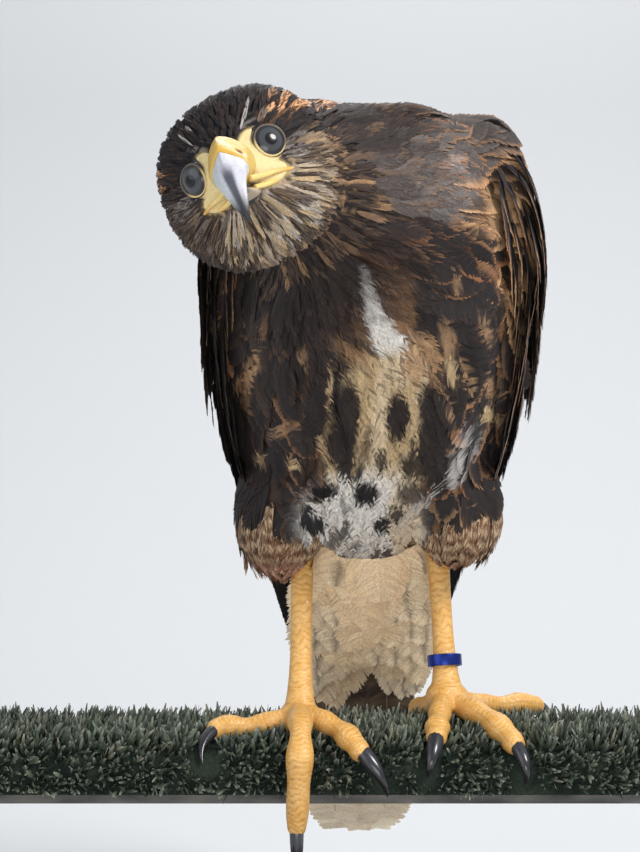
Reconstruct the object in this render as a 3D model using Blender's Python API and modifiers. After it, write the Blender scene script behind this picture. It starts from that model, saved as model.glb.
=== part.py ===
"""A young harris hawk leaning down from a turf-covered perch bar, life size, on a plain display stand.

Metres, +Z up. The origin is the middle of the stand's underside, and the perch runs along X above it.
The hawk faces -Y, and its left side is at +X.
"""

import math

import bmesh
import bpy
import numpy as np
from mathutils import Matrix, Vector

# Gaps and feather thickness
GAP = 0.0003
CUT_GAP = 0.0004
VANE_THICK = 0.0006
VANE_TILT = 0.0009  # how far a vane's edges stand above and below its shaft

# Stand and perch
SOLE_Z = 0.114  # height of the turf that the feet press on
BASE_SIZE = (0.300, 0.280, 0.012)
BASE_BEVEL = 0.003
ROD_RADIUS = 0.006
ROD_X = 0.138
BAR_LENGTH = 0.300
BAR_DEPTH = 0.036
BAR_TOP = SOLE_Z - 0.007
BAR_BOTTOM = SOLE_Z - 0.0225
TURF_DEPTH = 0.053
TURF_BOTTOM = SOLE_Z - 0.017
TURF_ROUND = 0.011

# The body's own frame: s runs from the shoulders to the tail tip, phi from the back round to the belly
HAWK_X = 0.019
SHOULDER = (-0.070, SOLE_Z + 0.215)
BODY_SLOPE = 49.0
TAIL_SLOPE = 54.0
TAIL_TURN_S = 0.165
SECTION_POWER = 2.2

# s, half width, back depth, belly depth
TORSO_STATIONS = (
    (-0.025, 0.008, 0.004, 0.008),
    (-0.018, 0.024, 0.011, 0.024),
    (0.000, 0.041, 0.028, 0.039),
    (0.030, 0.049, 0.041, 0.048),
    (0.070, 0.051, 0.043, 0.050),
    (0.110, 0.050, 0.041, 0.048),
    (0.145, 0.044, 0.036, 0.040),
    (0.167, 0.034, 0.027, 0.030),
    (0.180, 0.026, 0.018, 0.021),
)
WING_STATIONS = (
    (-0.030, 0.030, 0.024, 0.028),
    (0.000, 0.0435, 0.0345, 0.0405),
    (0.030, 0.0505, 0.0425, 0.0495),
    (0.070, 0.0525, 0.0445, 0.0515),
    (0.110, 0.0520, 0.0430, 0.0500),
    (0.145, 0.0490, 0.0395, 0.0455),
    (0.177, 0.0440, 0.0350, 0.0400),
    (0.215, 0.0370, 0.0280, 0.0320),
    (0.260, 0.0300, 0.0210, 0.0230),
    (0.300, 0.0250, 0.0170, 0.0170),
    (0.345, 0.0220, 0.0150, 0.0150),
)

# Head frame: origin midway between the eyes; axes r to the bird's left, f forward, u up
EYE_MID = (-0.028, -0.127, SOLE_Z + 0.2124)
HEAD_LOOK = (2.9, -5.6)  # turn towards +X and tip upwards, of the line from the head to the viewer
HEAD_ROLL = 27.0
HEAD_NOD = 8.0
HEAD_TURN = -6.5
# f, half width, height above centre, depth below centre, centre u
HEAD_STATIONS = (
    (-0.0610, 0.0040, 0.0040, 0.0040, -0.0020),
    (-0.0565, 0.0150, 0.0145, 0.0150, -0.0025),
    (-0.0470, 0.0245, 0.0235, 0.0240, -0.0030),
    (-0.0340, 0.0300, 0.0290, 0.0285, -0.0036),
    (-0.0220, 0.0310, 0.0305, 0.0292, -0.0044),
    (-0.0140, 0.0287, 0.0287, 0.0282, -0.0060),
    (-0.0085, 0.0236, 0.0246, 0.0255, -0.0075),
    (-0.0040, 0.0174, 0.0195, 0.0212, -0.0080),
    (0.0010, 0.0120, 0.0145, 0.0160, -0.0070),
    (0.0060, 0.0070, 0.0100, 0.0110, -0.0060),
)
EYE_R = 0.0146  # sideways place of the cornea's middle
EYE_F = 0.0012
EYE_RADIUS = 0.0082
EYE_SPLAY = 32.0  # degrees outward from straight ahead
LID_RADIUS = 0.0054
LID_DEPTH = 0.0019  # how far the rim of the lids lies behind the cornea's middle
LID_THICK = 0.0009

# Bill profile in the head frame: culmen f, u; cutting edge f, u; half width
BILL_STATIONS = (
    (0.0030, 0.0068, 0.0010, -0.0088, 0.0076),
    (0.0085, 0.0068, 0.0072, -0.0096, 0.0079),
    (0.0146, 0.0048, 0.0126, -0.0100, 0.0076),
    (0.0192, 0.0012, 0.0166, -0.0102, 0.0070),
    (0.0236, -0.0034, 0.0208, -0.0108, 0.0060),
    (0.0270, -0.0088, 0.0243, -0.0126, 0.0047),
    (0.0291, -0.0142, 0.0268, -0.0160, 0.0033),
    (0.0299, -0.0190, 0.0282, -0.0198, 0.0018),
    (0.0295, -0.0230, 0.0292, -0.0231, 0.0004),
)
CERE_ROWS = 4  # stations of the bill that the cere covers
LOWER_BILL_STATIONS = (
    (0.0010, -0.0104, 0.0010, -0.0150, 0.0056),
    (0.0085, -0.0106, 0.0080, -0.0146, 0.0052),
    (0.0145, -0.0109, 0.0140, -0.0139, 0.0043),
    (0.0190, -0.0115, 0.0186, -0.0133, 0.0029),
    (0.0222, -0.0123, 0.0220, -0.0129, 0.0010),
)
NOSTRIL = (0.0055, 0.0150, -0.0010)  # r, f, u
NOSTRIL_RADIUS = 0.0013
GAPE_CORNER = (0.0152, -0.0035, -0.0105)

# Legs: row positions of the joints, for the bird's right and left
LEGS = {
    "right": {
        "hip": (HAWK_X - 0.026, 0.004, SOLE_Z + 0.112),
        "hem": (HAWK_X - 0.034, 0.016, SOLE_Z + 0.0660),
        "heel": (HAWK_X - 0.026, 0.026, SOLE_Z + 0.080),
        "foot": (HAWK_X - 0.0268, -0.004, SOLE_Z + 0.0115),
    },
    "left": {
        "hip": (HAWK_X + 0.026, 0.004, SOLE_Z + 0.112),
        "hem": (HAWK_X + 0.034, 0.016, SOLE_Z + 0.0710),
        "heel": (HAWK_X + 0.028, 0.030, SOLE_Z + 0.084),
        "foot": (HAWK_X + 0.0316, 0.012, SOLE_Z + 0.0163),
    },
}
TARSUS_RADIUS = 0.0042
SCUTES = 9
SCUTE_STEP = 0.0004
# Toes: offsets from the foot joint of the points along each toe, then the claw's middle and tip
TOES = {
    "right": {
        "3": ((0.0, -0.012, -0.001), (0.0005, -0.0265, -0.004), (0.0, -0.0325, -0.018),
              (-0.0010, -0.0320, -0.0395), (-0.0008, -0.0325, -0.0490), (-0.0002, -0.0270, -0.0590)),
        "4": ((-0.0081, -0.0030, -0.0037), (-0.0203, -0.0050, -0.0059), (-0.0304, -0.0065, -0.0056),
              (-0.0339, -0.0095, -0.0074), (-0.0368, -0.0160, -0.0104), (-0.0365, -0.0225, -0.0165)),
        "2": ((0.0063, -0.0070, -0.0023), (0.0143, -0.0130, -0.0049), (0.0205, -0.0195, -0.0088),
              (0.0241, -0.0240, -0.0131), (0.0300, -0.0270, -0.0192), (0.0333, -0.0260, -0.0282)),
        "1": ((-0.001, 0.010, -0.004), (0.0005, 0.0200, -0.0060), (0.0010, 0.0290, -0.0110),
              (0.0015, 0.0325, -0.0190), (0.0018, 0.0345, -0.0270), (0.0020, 0.0300, -0.0350)),
    },
    "left": {
        "3": ((0.0064, -0.0080, -0.0056), (0.0141, -0.0190, -0.0076), (0.0205, -0.0285, -0.0117),
              (0.0246, -0.0365, -0.0155), (0.0269, -0.0420, -0.0212), (0.0266, -0.0410, -0.0287)),
        "4": ((0.0095, 0.0, -0.0057), (0.0221, 0.0060, -0.0080), (0.0336, 0.0110, -0.0085),
              (0.0393, 0.0140, -0.0110), (0.0423, 0.0180, -0.0133), (0.0434, 0.0200, -0.0171)),
        "2": ((-0.0030, -0.0120, -0.0056), (-0.0046, -0.0220, -0.0081), (-0.0057, -0.0290, -0.0108),
              (-0.0062, -0.0345, -0.0130), (-0.0083, -0.0405, -0.0189), (-0.0102, -0.0405, -0.0258)),
        "1": ((-0.0044, 0.0080, -0.0087), (-0.0077, 0.0145, -0.0105), (-0.0098, 0.0200, -0.0141),
              (-0.0104, 0.0230, -0.0206), (-0.0108, 0.0235, -0.0287), (-0.0105, 0.0205, -0.0368)),
    },
}
TOE_RADIUS = {"3": 0.0049, "4": 0.0042, "2": 0.0046, "1": 0.0048}
CLAW_RADIUS = {"3": 0.0027, "4": 0.0024, "2": 0.0031, "1": 0.0032}
CLAW_TAPER = (1, 0.95, 0.80, 0.52, 0.1)  # radius at five points from the root to the tip
CLAW_SET = 0.0030  # how far the claw's root reaches back into the toe
CLAW_LIFT = 0.0006
RING_INNER = 0.0060
RING_WALL = 0.0009
RING_HEIGHT = 0.0046
RING_ALONG = 0.155  # of the way up the tarsus

# Tail
TAIL_TIP_S = 0.3905
TAIL_ROUND = 0.0012  # how fast the outer feathers get shorter
TAIL_PAIRS = 6
TAIL_ROOT_S = 0.205
TAIL_LAYER = 0.00095

# Colours of the materials
DARK_BROWN = (0.045, 0.030, 0.024)
RUFOUS = (0.235, 0.105, 0.055)
CREAM = (0.62, 0.50, 0.34)
YELLOW = (0.80, 0.47, 0.12)
HORN_GREY = (0.16, 0.17, 0.20)
CLAW_BLACK = (0.012, 0.012, 0.016)
EYE_DARK = (0.03, 0.03, 0.035)
RING_BLUE = (0.02, 0.05, 0.45)
TURF_GREEN = (0.045, 0.065, 0.040)
STAND_GREY = (0.10, 0.10, 0.10)
BOARD_BROWN = (0.055, 0.040, 0.030)


def material(name, colour, roughness, metallic=0.0):
    made = bpy.data.materials.get(name) or bpy.data.materials.new(name)
    made.use_nodes = True
    shader = made.node_tree.nodes["Principled BSDF"]
    shader.inputs["Base Color"].default_value = (*colour, 1.0)
    shader.inputs["Roughness"].default_value = roughness
    shader.inputs["Metallic"].default_value = metallic
    return made


def collection(name):
    made = bpy.data.collections.new(name)
    bpy.context.scene.collection.children.link(made)
    return made


def mesh_object(name, points, faces, home, finish=None):
    mesh = bpy.data.meshes.new(name)
    mesh.from_pydata([tuple(map(float, p)) for p in points], [], faces)
    mesh.validate()
    work = bmesh.new()
    work.from_mesh(mesh)
    bmesh.ops.recalc_face_normals(work, faces=work.faces)
    work.to_mesh(mesh)
    work.free()
    made = bpy.data.objects.new(name, mesh)
    home.objects.link(made)
    if finish:
        mesh.materials.append(finish)
    return made


def curve_through(table, value):
    """The table's other columns at each value of its first, by a smooth cubic through its rows."""
    rows = np.asarray(table, float)
    knots, columns = rows[:, 0], rows[:, 1:]
    slopes = np.gradient(columns, knots, axis=0)
    value = np.clip(np.asarray(value, float), knots[0], knots[-1])
    at = np.clip(np.searchsorted(knots, value) - 1, 0, len(knots) - 2)
    width = (knots[at + 1] - knots[at])[..., None]
    t = ((value - knots[at])[..., None]) / width
    return (
        (2 * t**3 - 3 * t**2 + 1) * columns[at]
        + (t**3 - 2 * t**2 + t) * width * slopes[at]
        + (3 * t**2 - 2 * t**3) * columns[at + 1]
        + (t**3 - t**2) * width * slopes[at + 1]
    )


def spread(low, high, count):
    return np.linspace(low, high, count)


def loft(name, rings, home, finish=None):
    """Closed solid through equal rings of points, with both ends filled by a fan round their middle."""
    rings = np.asarray(rings, float)
    count, sides = rings.shape[:2]
    points = list(rings.reshape(-1, 3)) + [rings[0].mean(0), rings[-1].mean(0)]
    faces = []
    for i in range(count - 1):
        for j in range(sides):
            a, b = i * sides + j, i * sides + (j + 1) % sides
            faces.append((a, b, b + sides, a + sides))
    first, last = count * sides, count * sides + 1
    for j in range(sides):
        faces.append((first, (j + 1) % sides, j))
        base = (count - 1) * sides
        faces.append((last, base + j, base + (j + 1) % sides))
    return mesh_object(name, points, faces, home, finish)


# The body frame

SPINE_S = np.arange(-0.08, 0.45, 0.001)


def spine_table():
    bend = np.clip((SPINE_S - TAIL_TURN_S + 0.02) / 0.04, 0, 1)
    slope = np.radians(BODY_SLOPE + (TAIL_SLOPE - BODY_SLOPE) * bend * bend * (3 - 2 * bend))
    y = np.cumsum(np.cos(slope)) * 0.001
    z = -np.cumsum(np.sin(slope)) * 0.001
    zero = np.searchsorted(SPINE_S, 0.0)
    return y - y[zero] + SHOULDER[0], z - z[zero] + SHOULDER[1], slope


SPINE_Y, SPINE_Z, SPINE_SLOPE = spine_table()


def spine(s):
    """Middle of the body at s, and the direction that points out of the back there."""
    slope = np.interp(s, SPINE_S, SPINE_SLOPE)
    y = np.interp(s, SPINE_S, SPINE_Y)
    z = np.interp(s, SPINE_S, SPINE_Z)
    zero = np.zeros_like(y)
    return np.stack([zero + HAWK_X, y, z], -1), np.stack([zero, np.sin(slope), np.cos(slope)], -1)


def body_point(stations, s, phi, height=0.0, side=1.0):
    """The point at s and phi degrees, height above the surface that the stations give."""
    s, phi, height = np.broadcast_arrays(np.asarray(s, float), np.radians(phi), height)
    half, back, belly = np.moveaxis(curve_through(stations, s), -1, 0)
    middle, out = spine(s)
    sine, cosine = np.sin(phi), np.cos(phi)
    power = 2.0 / SECTION_POWER
    across = np.sign(sine) * np.abs(sine) ** power * (half + height)
    up = np.sign(cosine) * np.abs(cosine) ** power * (np.where(cosine > 0, back, belly) + height)
    point = middle + up[..., None] * out
    point[..., 0] += across * side
    return point


def tail_point(s, x, height):
    """The point at s along the tail, x to the side and height above its middle plane."""
    s, x, height = np.broadcast_arrays(np.asarray(s, float), x, height)
    middle, out = spine(s)
    point = middle + height[..., None] * out
    point[..., 0] += x
    return point


def vane(name, surface, home, along=5, across=2, thick=VANE_THICK):
    """A feather's vane: surface(t, w) gives its middle for t from root to tip and w from edge to edge."""
    t = spread(0, 1, along + 1)[:, None] * np.ones(across + 1)
    w = np.ones(along + 1)[:, None] * spread(-1, 1, across + 1)
    middle = surface(t, w)
    run = np.gradient(middle, axis=0)
    over = np.gradient(middle, axis=1)
    normal = np.cross(run, over)
    normal /= np.linalg.norm(normal, axis=-1, keepdims=True) + 1e-12
    top, low = middle + normal * thick / 2, middle - normal * thick / 2
    wide = across + 1
    total = (along + 1) * wide
    faces = []
    for i in range(along):
        for j in range(across):
            a, b, c, d = i * wide + j, (i + 1) * wide + j, (i + 1) * wide + j + 1, i * wide + j + 1
            faces += [(a, b, c), (a, c, d)]
            faces += [(a + total, c + total, b + total), (a + total, d + total, c + total)]
    rim = (
        [j for j in range(across)]
        + [i * wide + across for i in range(along)]
        + [along * wide + j for j in range(across, 0, -1)]
        + [i * wide for i in range(along, 0, -1)]
    )
    for k, a in enumerate(rim):
        b = rim[(k + 1) % len(rim)]
        faces += [(a, b, b + total), (a, b + total, a + total)]
    return mesh_object(name, np.concatenate([top.reshape(-1, 3), low.reshape(-1, 3)]), faces, home)


def outline(t, root=0.55, tip=0.25, round_from=0.72):
    """Share of a vane's full half width at t: narrow root, broad middle, rounded tip."""
    rise = root + (1 - root) * np.clip(t / 0.35, 0, 1)
    fall = np.clip((t - round_from) / (1 - round_from), 0, 1)
    return rise * (tip + (1 - tip) * np.sqrt(np.clip(1 - fall**2, 0, 1)))


# Joining and cutting


def apply_modifiers(obj):
    bpy.context.view_layer.update()
    graph = bpy.context.evaluated_depsgraph_get()
    mesh = bpy.data.meshes.new_from_object(obj.evaluated_get(graph))
    obj.modifiers.clear()
    obj.data = mesh


def keep_largest(obj):
    """Deletes all but the object's largest closed surface."""
    work = bmesh.new()
    work.from_mesh(obj.data)
    left, groups = set(work.faces), []
    while left:
        edge = [left.pop()]
        group = set(edge)
        while edge:
            face = edge.pop()
            for line in face.edges:
                for other in line.link_faces:
                    if other in left:
                        left.remove(other)
                        group.add(other)
                        edge.append(other)
        groups.append(group)

    def size(group):
        total = 0.0
        for face in group:
            corners = [v.co for v in face.verts]
            for i in range(1, len(corners) - 1):
                total += corners[0].dot(corners[i].cross(corners[i + 1])) / 6
        return abs(total)

    groups.sort(key=size, reverse=True)
    for group in groups[1:]:
        bmesh.ops.delete(work, geom=list(group), context="FACES")
    work.to_mesh(obj.data)
    work.free()


def is_closed(obj):
    """Whether the object has faces and each of its edges lies between two of them."""
    work = bmesh.new()
    work.from_mesh(obj.data)
    closed = bool(work.faces) and all(edge.is_manifold for edge in work.edges)
    work.free()
    return closed


def volume(obj):
    work = bmesh.new()
    work.from_mesh(obj.data)
    size = work.calc_volume()
    work.free()
    return size


def combine(obj, operation, other):
    """Boolean of obj with an object or a collection, by the second solver where the first one fails."""
    before = obj.data
    least = volume(obj) * (0.98 if operation == "UNION" else 0.02)
    for solver in ("EXACT", "MANIFOLD"):
        obj.data = before
        step = obj.modifiers.new("combine", "BOOLEAN")
        step.operation = operation
        step.solver = solver
        if isinstance(other, bpy.types.Collection):
            step.operand_type = "COLLECTION"
            step.collection = other
        else:
            step.object = other
        apply_modifiers(obj)
        closed = is_closed(obj)
        keep_largest(obj)
        if closed and volume(obj) > least:
            break
        print(operation, "of", obj.name, "with", other.name, "failed with", solver)


def join_all(base, pieces_home):
    """Unites base with every piece in the collection, then removes the pieces."""
    combine(base, "UNION", pieces_home)
    for piece in list(pieces_home.objects):
        bpy.data.objects.remove(piece)
    bpy.data.collections.remove(pieces_home)


def cut_by(obj, cutter, gap=CUT_GAP):
    """Cuts cutter's shape, grown by the gap, out of obj."""
    grown = bpy.data.objects.new("grown " + cutter.name, cutter.data.copy())
    bpy.context.scene.collection.objects.link(grown)
    if gap:
        work = bmesh.new()
        work.from_mesh(grown.data)
        bmesh.ops.remove_doubles(work, verts=work.verts, dist=1e-6)
        work.normal_update()
        for vert in work.verts:
            vert.co += vert.normal * gap * vert.calc_shell_factor()
        work.to_mesh(grown.data)
        work.free()
    combine(obj, "DIFFERENCE", grown)
    bpy.data.objects.remove(grown)


# Torso, neck and head


def section_angles(sides):
    return spread(0, 360, sides + 1)[:-1]


def make_torso(home, finish):
    s = np.concatenate([spread(-0.025, -0.004, 4), spread(0.008, 0.180, 12)])
    rings = body_point(TORSO_STATIONS, s[:, None], section_angles(20)[None, :])
    return loft("torso", rings, home, finish)


def head_matrix():
    """Turns head axes r, f, u into row axes."""
    turn, tip = (math.radians(a) for a in HEAD_LOOK)
    forward = Vector((math.sin(turn) * math.cos(tip), -math.cos(turn) * math.cos(tip), math.sin(tip)))
    left = Vector((0, 0, 1)).cross(-forward).normalized()
    left = -left if left.x < 0 else left
    up = left.cross(forward)
    up = -up if up.z < 0 else up
    basis = Matrix((left, forward, up)).transposed()
    roll = Matrix.Rotation(math.radians(-HEAD_ROLL), 3, "Y")
    nod = Matrix.Rotation(math.radians(HEAD_NOD), 3, "X")
    look = Matrix.Rotation(math.radians(-HEAD_TURN), 3, "Z")
    return basis, roll, nod, look


def head_point(points):
    """Row points from head-frame points r, f, u."""
    basis, roll, nod, look = head_matrix()
    # Mirrored basis: r, f, u is left-handed when the bird faces -Y, so the turns act in its own axes
    turned = np.asarray(points, float) @ np.array(roll @ nod @ look, float).T
    return turned @ np.array(basis, float).T + np.array(EYE_MID)


def head_ring(f, half, up, low, centre, sides, power=2.3):
    angle = np.radians(section_angles(sides))
    sine, cosine = np.sin(angle), np.cos(angle)
    r = np.sign(sine) * np.abs(sine) ** (2 / power) * half
    u = centre + np.sign(cosine) * np.abs(cosine) ** (2 / power) * np.where(cosine > 0, up, low)
    return np.stack([r, np.full_like(r, f), u], -1)


def make_head(home, finish):
    back = [-0.0610, -0.0588, -0.0560]
    f = np.concatenate([back, spread(-0.0500, -0.0185, 5), spread(-0.0140, 0.0060, 7)])
    values = curve_through(HEAD_STATIONS, f)
    rings = [head_point(head_ring(at, *row, 20)) for at, row in zip(f, values)]
    return loft("head", rings, home, finish)


def eye_axis(side):
    splay = math.radians(EYE_SPLAY)
    return np.array([side * math.sin(splay), math.cos(splay), 0.05])


def ball(name, centre, radius, home, finish=None, segments=12, rings=8):
    mesh = bpy.data.meshes.new(name)
    work = bmesh.new()
    bmesh.ops.create_uvsphere(work, u_segments=segments, v_segments=rings, radius=radius)
    work.to_mesh(mesh)
    work.free()
    mesh.transform(Matrix.Translation(Vector(centre)))
    made = bpy.data.objects.new(name, mesh)
    home.objects.link(made)
    if finish:
        mesh.materials.append(finish)
    return made


def lid_ring(name, side, home):
    """The lids: a thin rim round the eye, a little raised and slightly oval."""
    axis = eye_axis(side)
    axis /= np.linalg.norm(axis)
    over = np.array([axis[1], -axis[0], 0.0])
    over /= np.linalg.norm(over)
    high = np.cross(over, axis)
    centre = np.array([side * EYE_R, EYE_F, 0.0]) - axis * LID_DEPTH
    rings = []
    for angle in np.radians(section_angles(14)):
        out = over * math.cos(angle) + high * math.sin(angle)
        turn = np.radians(section_angles(5))[:, None]
        reach = LID_RADIUS + 0.0004 + LID_THICK * 1.6 * np.cos(turn)
        rings.append(centre + out * reach + axis * (LID_THICK * 1.5 * np.sin(turn)))
    rings = head_point(np.array(rings))
    sides, count = rings.shape[1], rings.shape[0]
    faces = [
        (i * sides + j, ((i + 1) % count) * sides + j,
         ((i + 1) % count) * sides + (j + 1) % sides, i * sides + (j + 1) % sides)
        for i in range(count) for j in range(sides)
    ]
    return mesh_object(name, rings.reshape(-1, 3), faces, home)


def make_eye(side, name, home, finish):
    axis = eye_axis(side)
    axis /= np.linalg.norm(axis)
    centre = head_point(np.array([side * EYE_R, EYE_F, 0.0]) - axis * EYE_RADIUS)
    return ball(name, centre, EYE_RADIUS, home, finish)


def bill_rings(stations, sides, ridge=1.9):
    """Rings round a bill, from upper to lower profile point; the upper bill narrows to a ridge."""
    rings = []
    for top_f, top_u, low_f, low_u, half in stations:
        ring = []
        narrow = np.interp(top_f, (0.0146, 0.0236), (0.35, 0.62)) if ridge < 2 else 0.35
        for angle in np.radians(section_angles(sides)):
            height = (1 + math.cos(angle)) / 2
            width = half * abs(math.sin(angle)) ** (2 / ridge) * (1.0 - narrow * height**2)
            ring.append((math.copysign(width, math.sin(angle)), low_f + (top_f - low_f) * height,
                         low_u + (top_u - low_u) * height))
        rings.append(head_point(np.array(ring)))
    return rings


def tube(name, points, radii, home, finish=None, sides=8, flat=1.0, steps=2):
    """A round bar of changing radius through the points, with rounded ends; flat squeezes it upright."""
    points, radii = np.asarray(points, float), np.asarray(radii, float)
    knots = np.linspace(0, 1, len(points))
    at = spread(0, 1, (len(points) - 1) * steps + 1)
    table = np.column_stack([knots, points, radii])
    values = curve_through(table, at)
    centre, radius = values[:, :3], values[:, 3]
    along = np.gradient(centre, axis=0)
    along /= np.linalg.norm(along, axis=1, keepdims=True)
    guide = np.array([0.0, 0.0, 1.0]) if abs(along[0][2]) < 0.8 else np.array([0.0, 1.0, 0.0])
    side = np.cross(along[0], guide)
    angles = np.radians(section_angles(sides))
    rings = []
    for i in range(len(at)):
        side = side - along[i] * side.dot(along[i])
        side /= np.linalg.norm(side)
        upright = np.cross(side, along[i])
        ring = (np.cos(angles)[:, None] * side + np.sin(angles)[:, None] * upright * flat) * radius[i]
        rings.append(centre[i] + ring)
    return loft(name, rings, home, finish)


def gape_tube(name, side, home, extra=0.0):
    """The yellow edge of the mouth, from beside the cere back to its corner."""
    corner_r, corner_f, corner_u = GAPE_CORNER
    path = head_point(np.array([
        (side * 0.0045, 0.0130, -0.0096),
        (side * 0.0082, 0.0068, -0.0098),
        (side * 0.0118, 0.0022, -0.0100),
        (side * corner_r, corner_f, corner_u),
        (side * (corner_r + 0.0025 + extra), corner_f - 0.0035 - extra, corner_u - 0.0006),
    ]))
    return tube(name, path, np.array((0.0014, 0.0014, 0.0012, 0.0011, 0.0005)) + extra, home, sides=6)


def grown_bill(stations, by, ends=0.0):
    """The stations of a bill grown by a distance all round, and at both ends by another."""
    last = len(stations) - 1
    rows = []
    for i, (top_f, top_u, low_f, low_u, half) in enumerate(stations):
        shift = -ends if i == 0 else ends if i == last else 0.0
        rows.append((top_f + shift, top_u + by, low_f + shift, low_u - by, half + by))
    return rows


def make_bill(home, yellow, horn):
    """Cere with its nostrils and the corners of the mouth, the hooked upper bill and the lower one."""
    tip_rows = [(a + GAP, b, c + GAP, d, w) for a, b, c, d, w in BILL_STATIONS[CERE_ROWS - 1:]]
    upper = loft("beak_upper", bill_rings(tip_rows, 12), home, horn)
    cere = loft("cere", bill_rings(grown_bill(BILL_STATIONS[:CERE_ROWS], 0.0003), 12), home, yellow)
    corners = collection("gape pieces")
    for side in (1, -1):
        gape_tube(f"gape {side}", side, corners)
    join_all(cere, corners)
    for side in (1, -1):
        place = head_point(np.array([side * (NOSTRIL[0] + 0.0008), NOSTRIL[1], NOSTRIL[2]]))
        hole = ball("nostril", place, NOSTRIL_RADIUS, bpy.context.scene.collection, segments=8, rings=6)
        cut_by(cere, hole, gap=0)
        bpy.data.objects.remove(hole)
    lower = loft("beak_lower", bill_rings(LOWER_BILL_STATIONS, 10, ridge=2.4), home, horn)
    cut_by(lower, cere)
    return cere, upper, lower


def clear_bill_room(head):
    """Takes the room of the bill and of the mouth's corners out of the head."""
    room = bpy.context.scene.collection
    cutters = [
        loft("upper room", bill_rings(grown_bill(BILL_STATIONS[:6], 0.0008, 0.0005), 12), room),
        loft("lower room", bill_rings(grown_bill(LOWER_BILL_STATIONS, 0.0005, 0.0005), 10, ridge=2.4), room),
        gape_tube("left corner room", 1, room, 0.0004),
        gape_tube("right corner room", -1, room, 0.0004),
    ]
    for cutter in cutters:
        cut_by(head, cutter, gap=0)
        bpy.data.objects.remove(cutter)


def make_neck(name, home, finish=None):
    """From inside the shoulders round to the back of the head."""
    start = spine(np.array(0.010))[0] - np.array([0.002, 0.0, 0.004])
    end = head_point(np.array([0.0, -0.034, -0.007]))
    bulge = np.array([0.002, -0.004, 0.000])
    nape = np.array([0.0012, -0.0024, 0.0025])
    path = [start, start * 0.62 + end * 0.38 + bulge, start * 0.28 + end * 0.72 + nape, end]
    return tube(name, path, (0.0350, 0.0330, 0.0300, 0.0265), home, finish, sides=16)


# Wings


def pad_height(s):
    places = (-0.016, 0.000, 0.030, 0.070, 0.110, 0.140)
    return np.interp(s, places, (0.0012, 0.0055, 0.0085, 0.0075, 0.0050, 0.0020))


def wing_edges(s):
    """The wing's upper and lower edge in degrees from the back at s."""
    upper = np.interp(s, (-0.016, 0.0, 0.03, 0.08, 0.14), (74, 60, 36, 20, 15))
    lower = np.interp(s, (-0.016, 0.0, 0.03, 0.08, 0.14), (84, 100, 107, 111, 113))
    return upper, lower


def make_wing_pad(name, side, home, finish):
    s = np.concatenate([spread(-0.016, 0.010, 4), spread(0.026, 0.140, 6)])
    upper, lower = wing_edges(s)
    w = spread(-1, 1, 7)
    outer_phi = (upper[:, None] * (1 - w) + lower[:, None] * (1 + w)) / 2
    outer_height = 0.0008 + pad_height(s)[:, None] * (1 - np.abs(w) ** 2.6) ** 0.7
    outer = body_point(WING_STATIONS, s[:, None], outer_phi, outer_height, side)
    inner = body_point(WING_STATIONS, s[:, None], outer_phi[:, ::-1], -0.0050, side)
    return loft(name, np.concatenate([outer, inner], axis=1), home, finish)


def wing_vane(name, side, home, root, tip, half, heights, along=4, tilt=VANE_TILT, bend=0.0):
    """A vane on the wing: root and tip are s and phi, heights are at its root, middle and tip."""

    def surface(t, w):
        s = root[0] + (tip[0] - root[0]) * t
        radius = curve_through(WING_STATIONS, s)[..., 0] + 0.004
        phi = root[1] + (tip[1] - root[1]) * (t + bend * t * (1 - t))
        phi = phi + np.degrees(half * outline(t) * w / radius)
        height = np.interp(t, (0, 0.45, 1), heights) + 0.0006 * (1 - w * w)
        height = height + tilt * w * np.clip(t * 2.5, 0.25, 1)
        return body_point(WING_STATIONS, s, phi, height, side)

    return vane(name, surface, home, along=along)


# Tiers of the wing's feathers: name, count, root s and phi at the upper and lower edge, tip s and phi there,
# half width, heights at root, middle and tip in millimetres, and pieces along
WING_TIERS = (
    ("primary", 6, (0.110, 0.085), (52, 104), (0.312, 0.222), (22, 92), 0.0100, (1.2, 1.2, 1.0), 3),
    ("secondary", 5, (0.095, 0.075), (24, 104), (0.226, 0.178), (18, 111), 0.0118, (3.0, 4.2, 3.6), 3),
    ("greater", 6, (0.060, 0.050), (22, 102), (0.150, 0.140), (16, 108), 0.0104, (3.6, 7.2, 6.4), 3),
    ("median", 5, (0.030, 0.028), (28, 100), (0.108, 0.104), (20, 105), 0.0114, (4.5, 10.2, 9.2), 3),
)


def make_wing(side, name, home, finish, neighbours):
    pad = make_wing_pad(f"wing_{name}", side, home, finish)
    for neighbour in neighbours:
        cut_by(pad, neighbour, gap=0.0008)
    feathers = collection(f"wing feathers {name}")
    for tier, count, root_s, root_phi, tip_s, tip_phi, half, heights, along in WING_TIERS:
        for i in range(count):
            u = i / (count - 1)
            root = (root_s[0] + (root_s[1] - root_s[0]) * u, root_phi[0] + (root_phi[1] - root_phi[0]) * u)
            shape = u**1.3 if tier == "primary" else u
            tip = (tip_s[0] + (tip_s[1] - tip_s[0]) * shape, tip_phi[0] + (tip_phi[1] - tip_phi[0]) * u)
            wing_vane(f"{tier} {i}", side, feathers, root, tip, half, np.array(heights) / 1000, along)
    join_all(pad, feathers)
    return pad


# Tail


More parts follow.
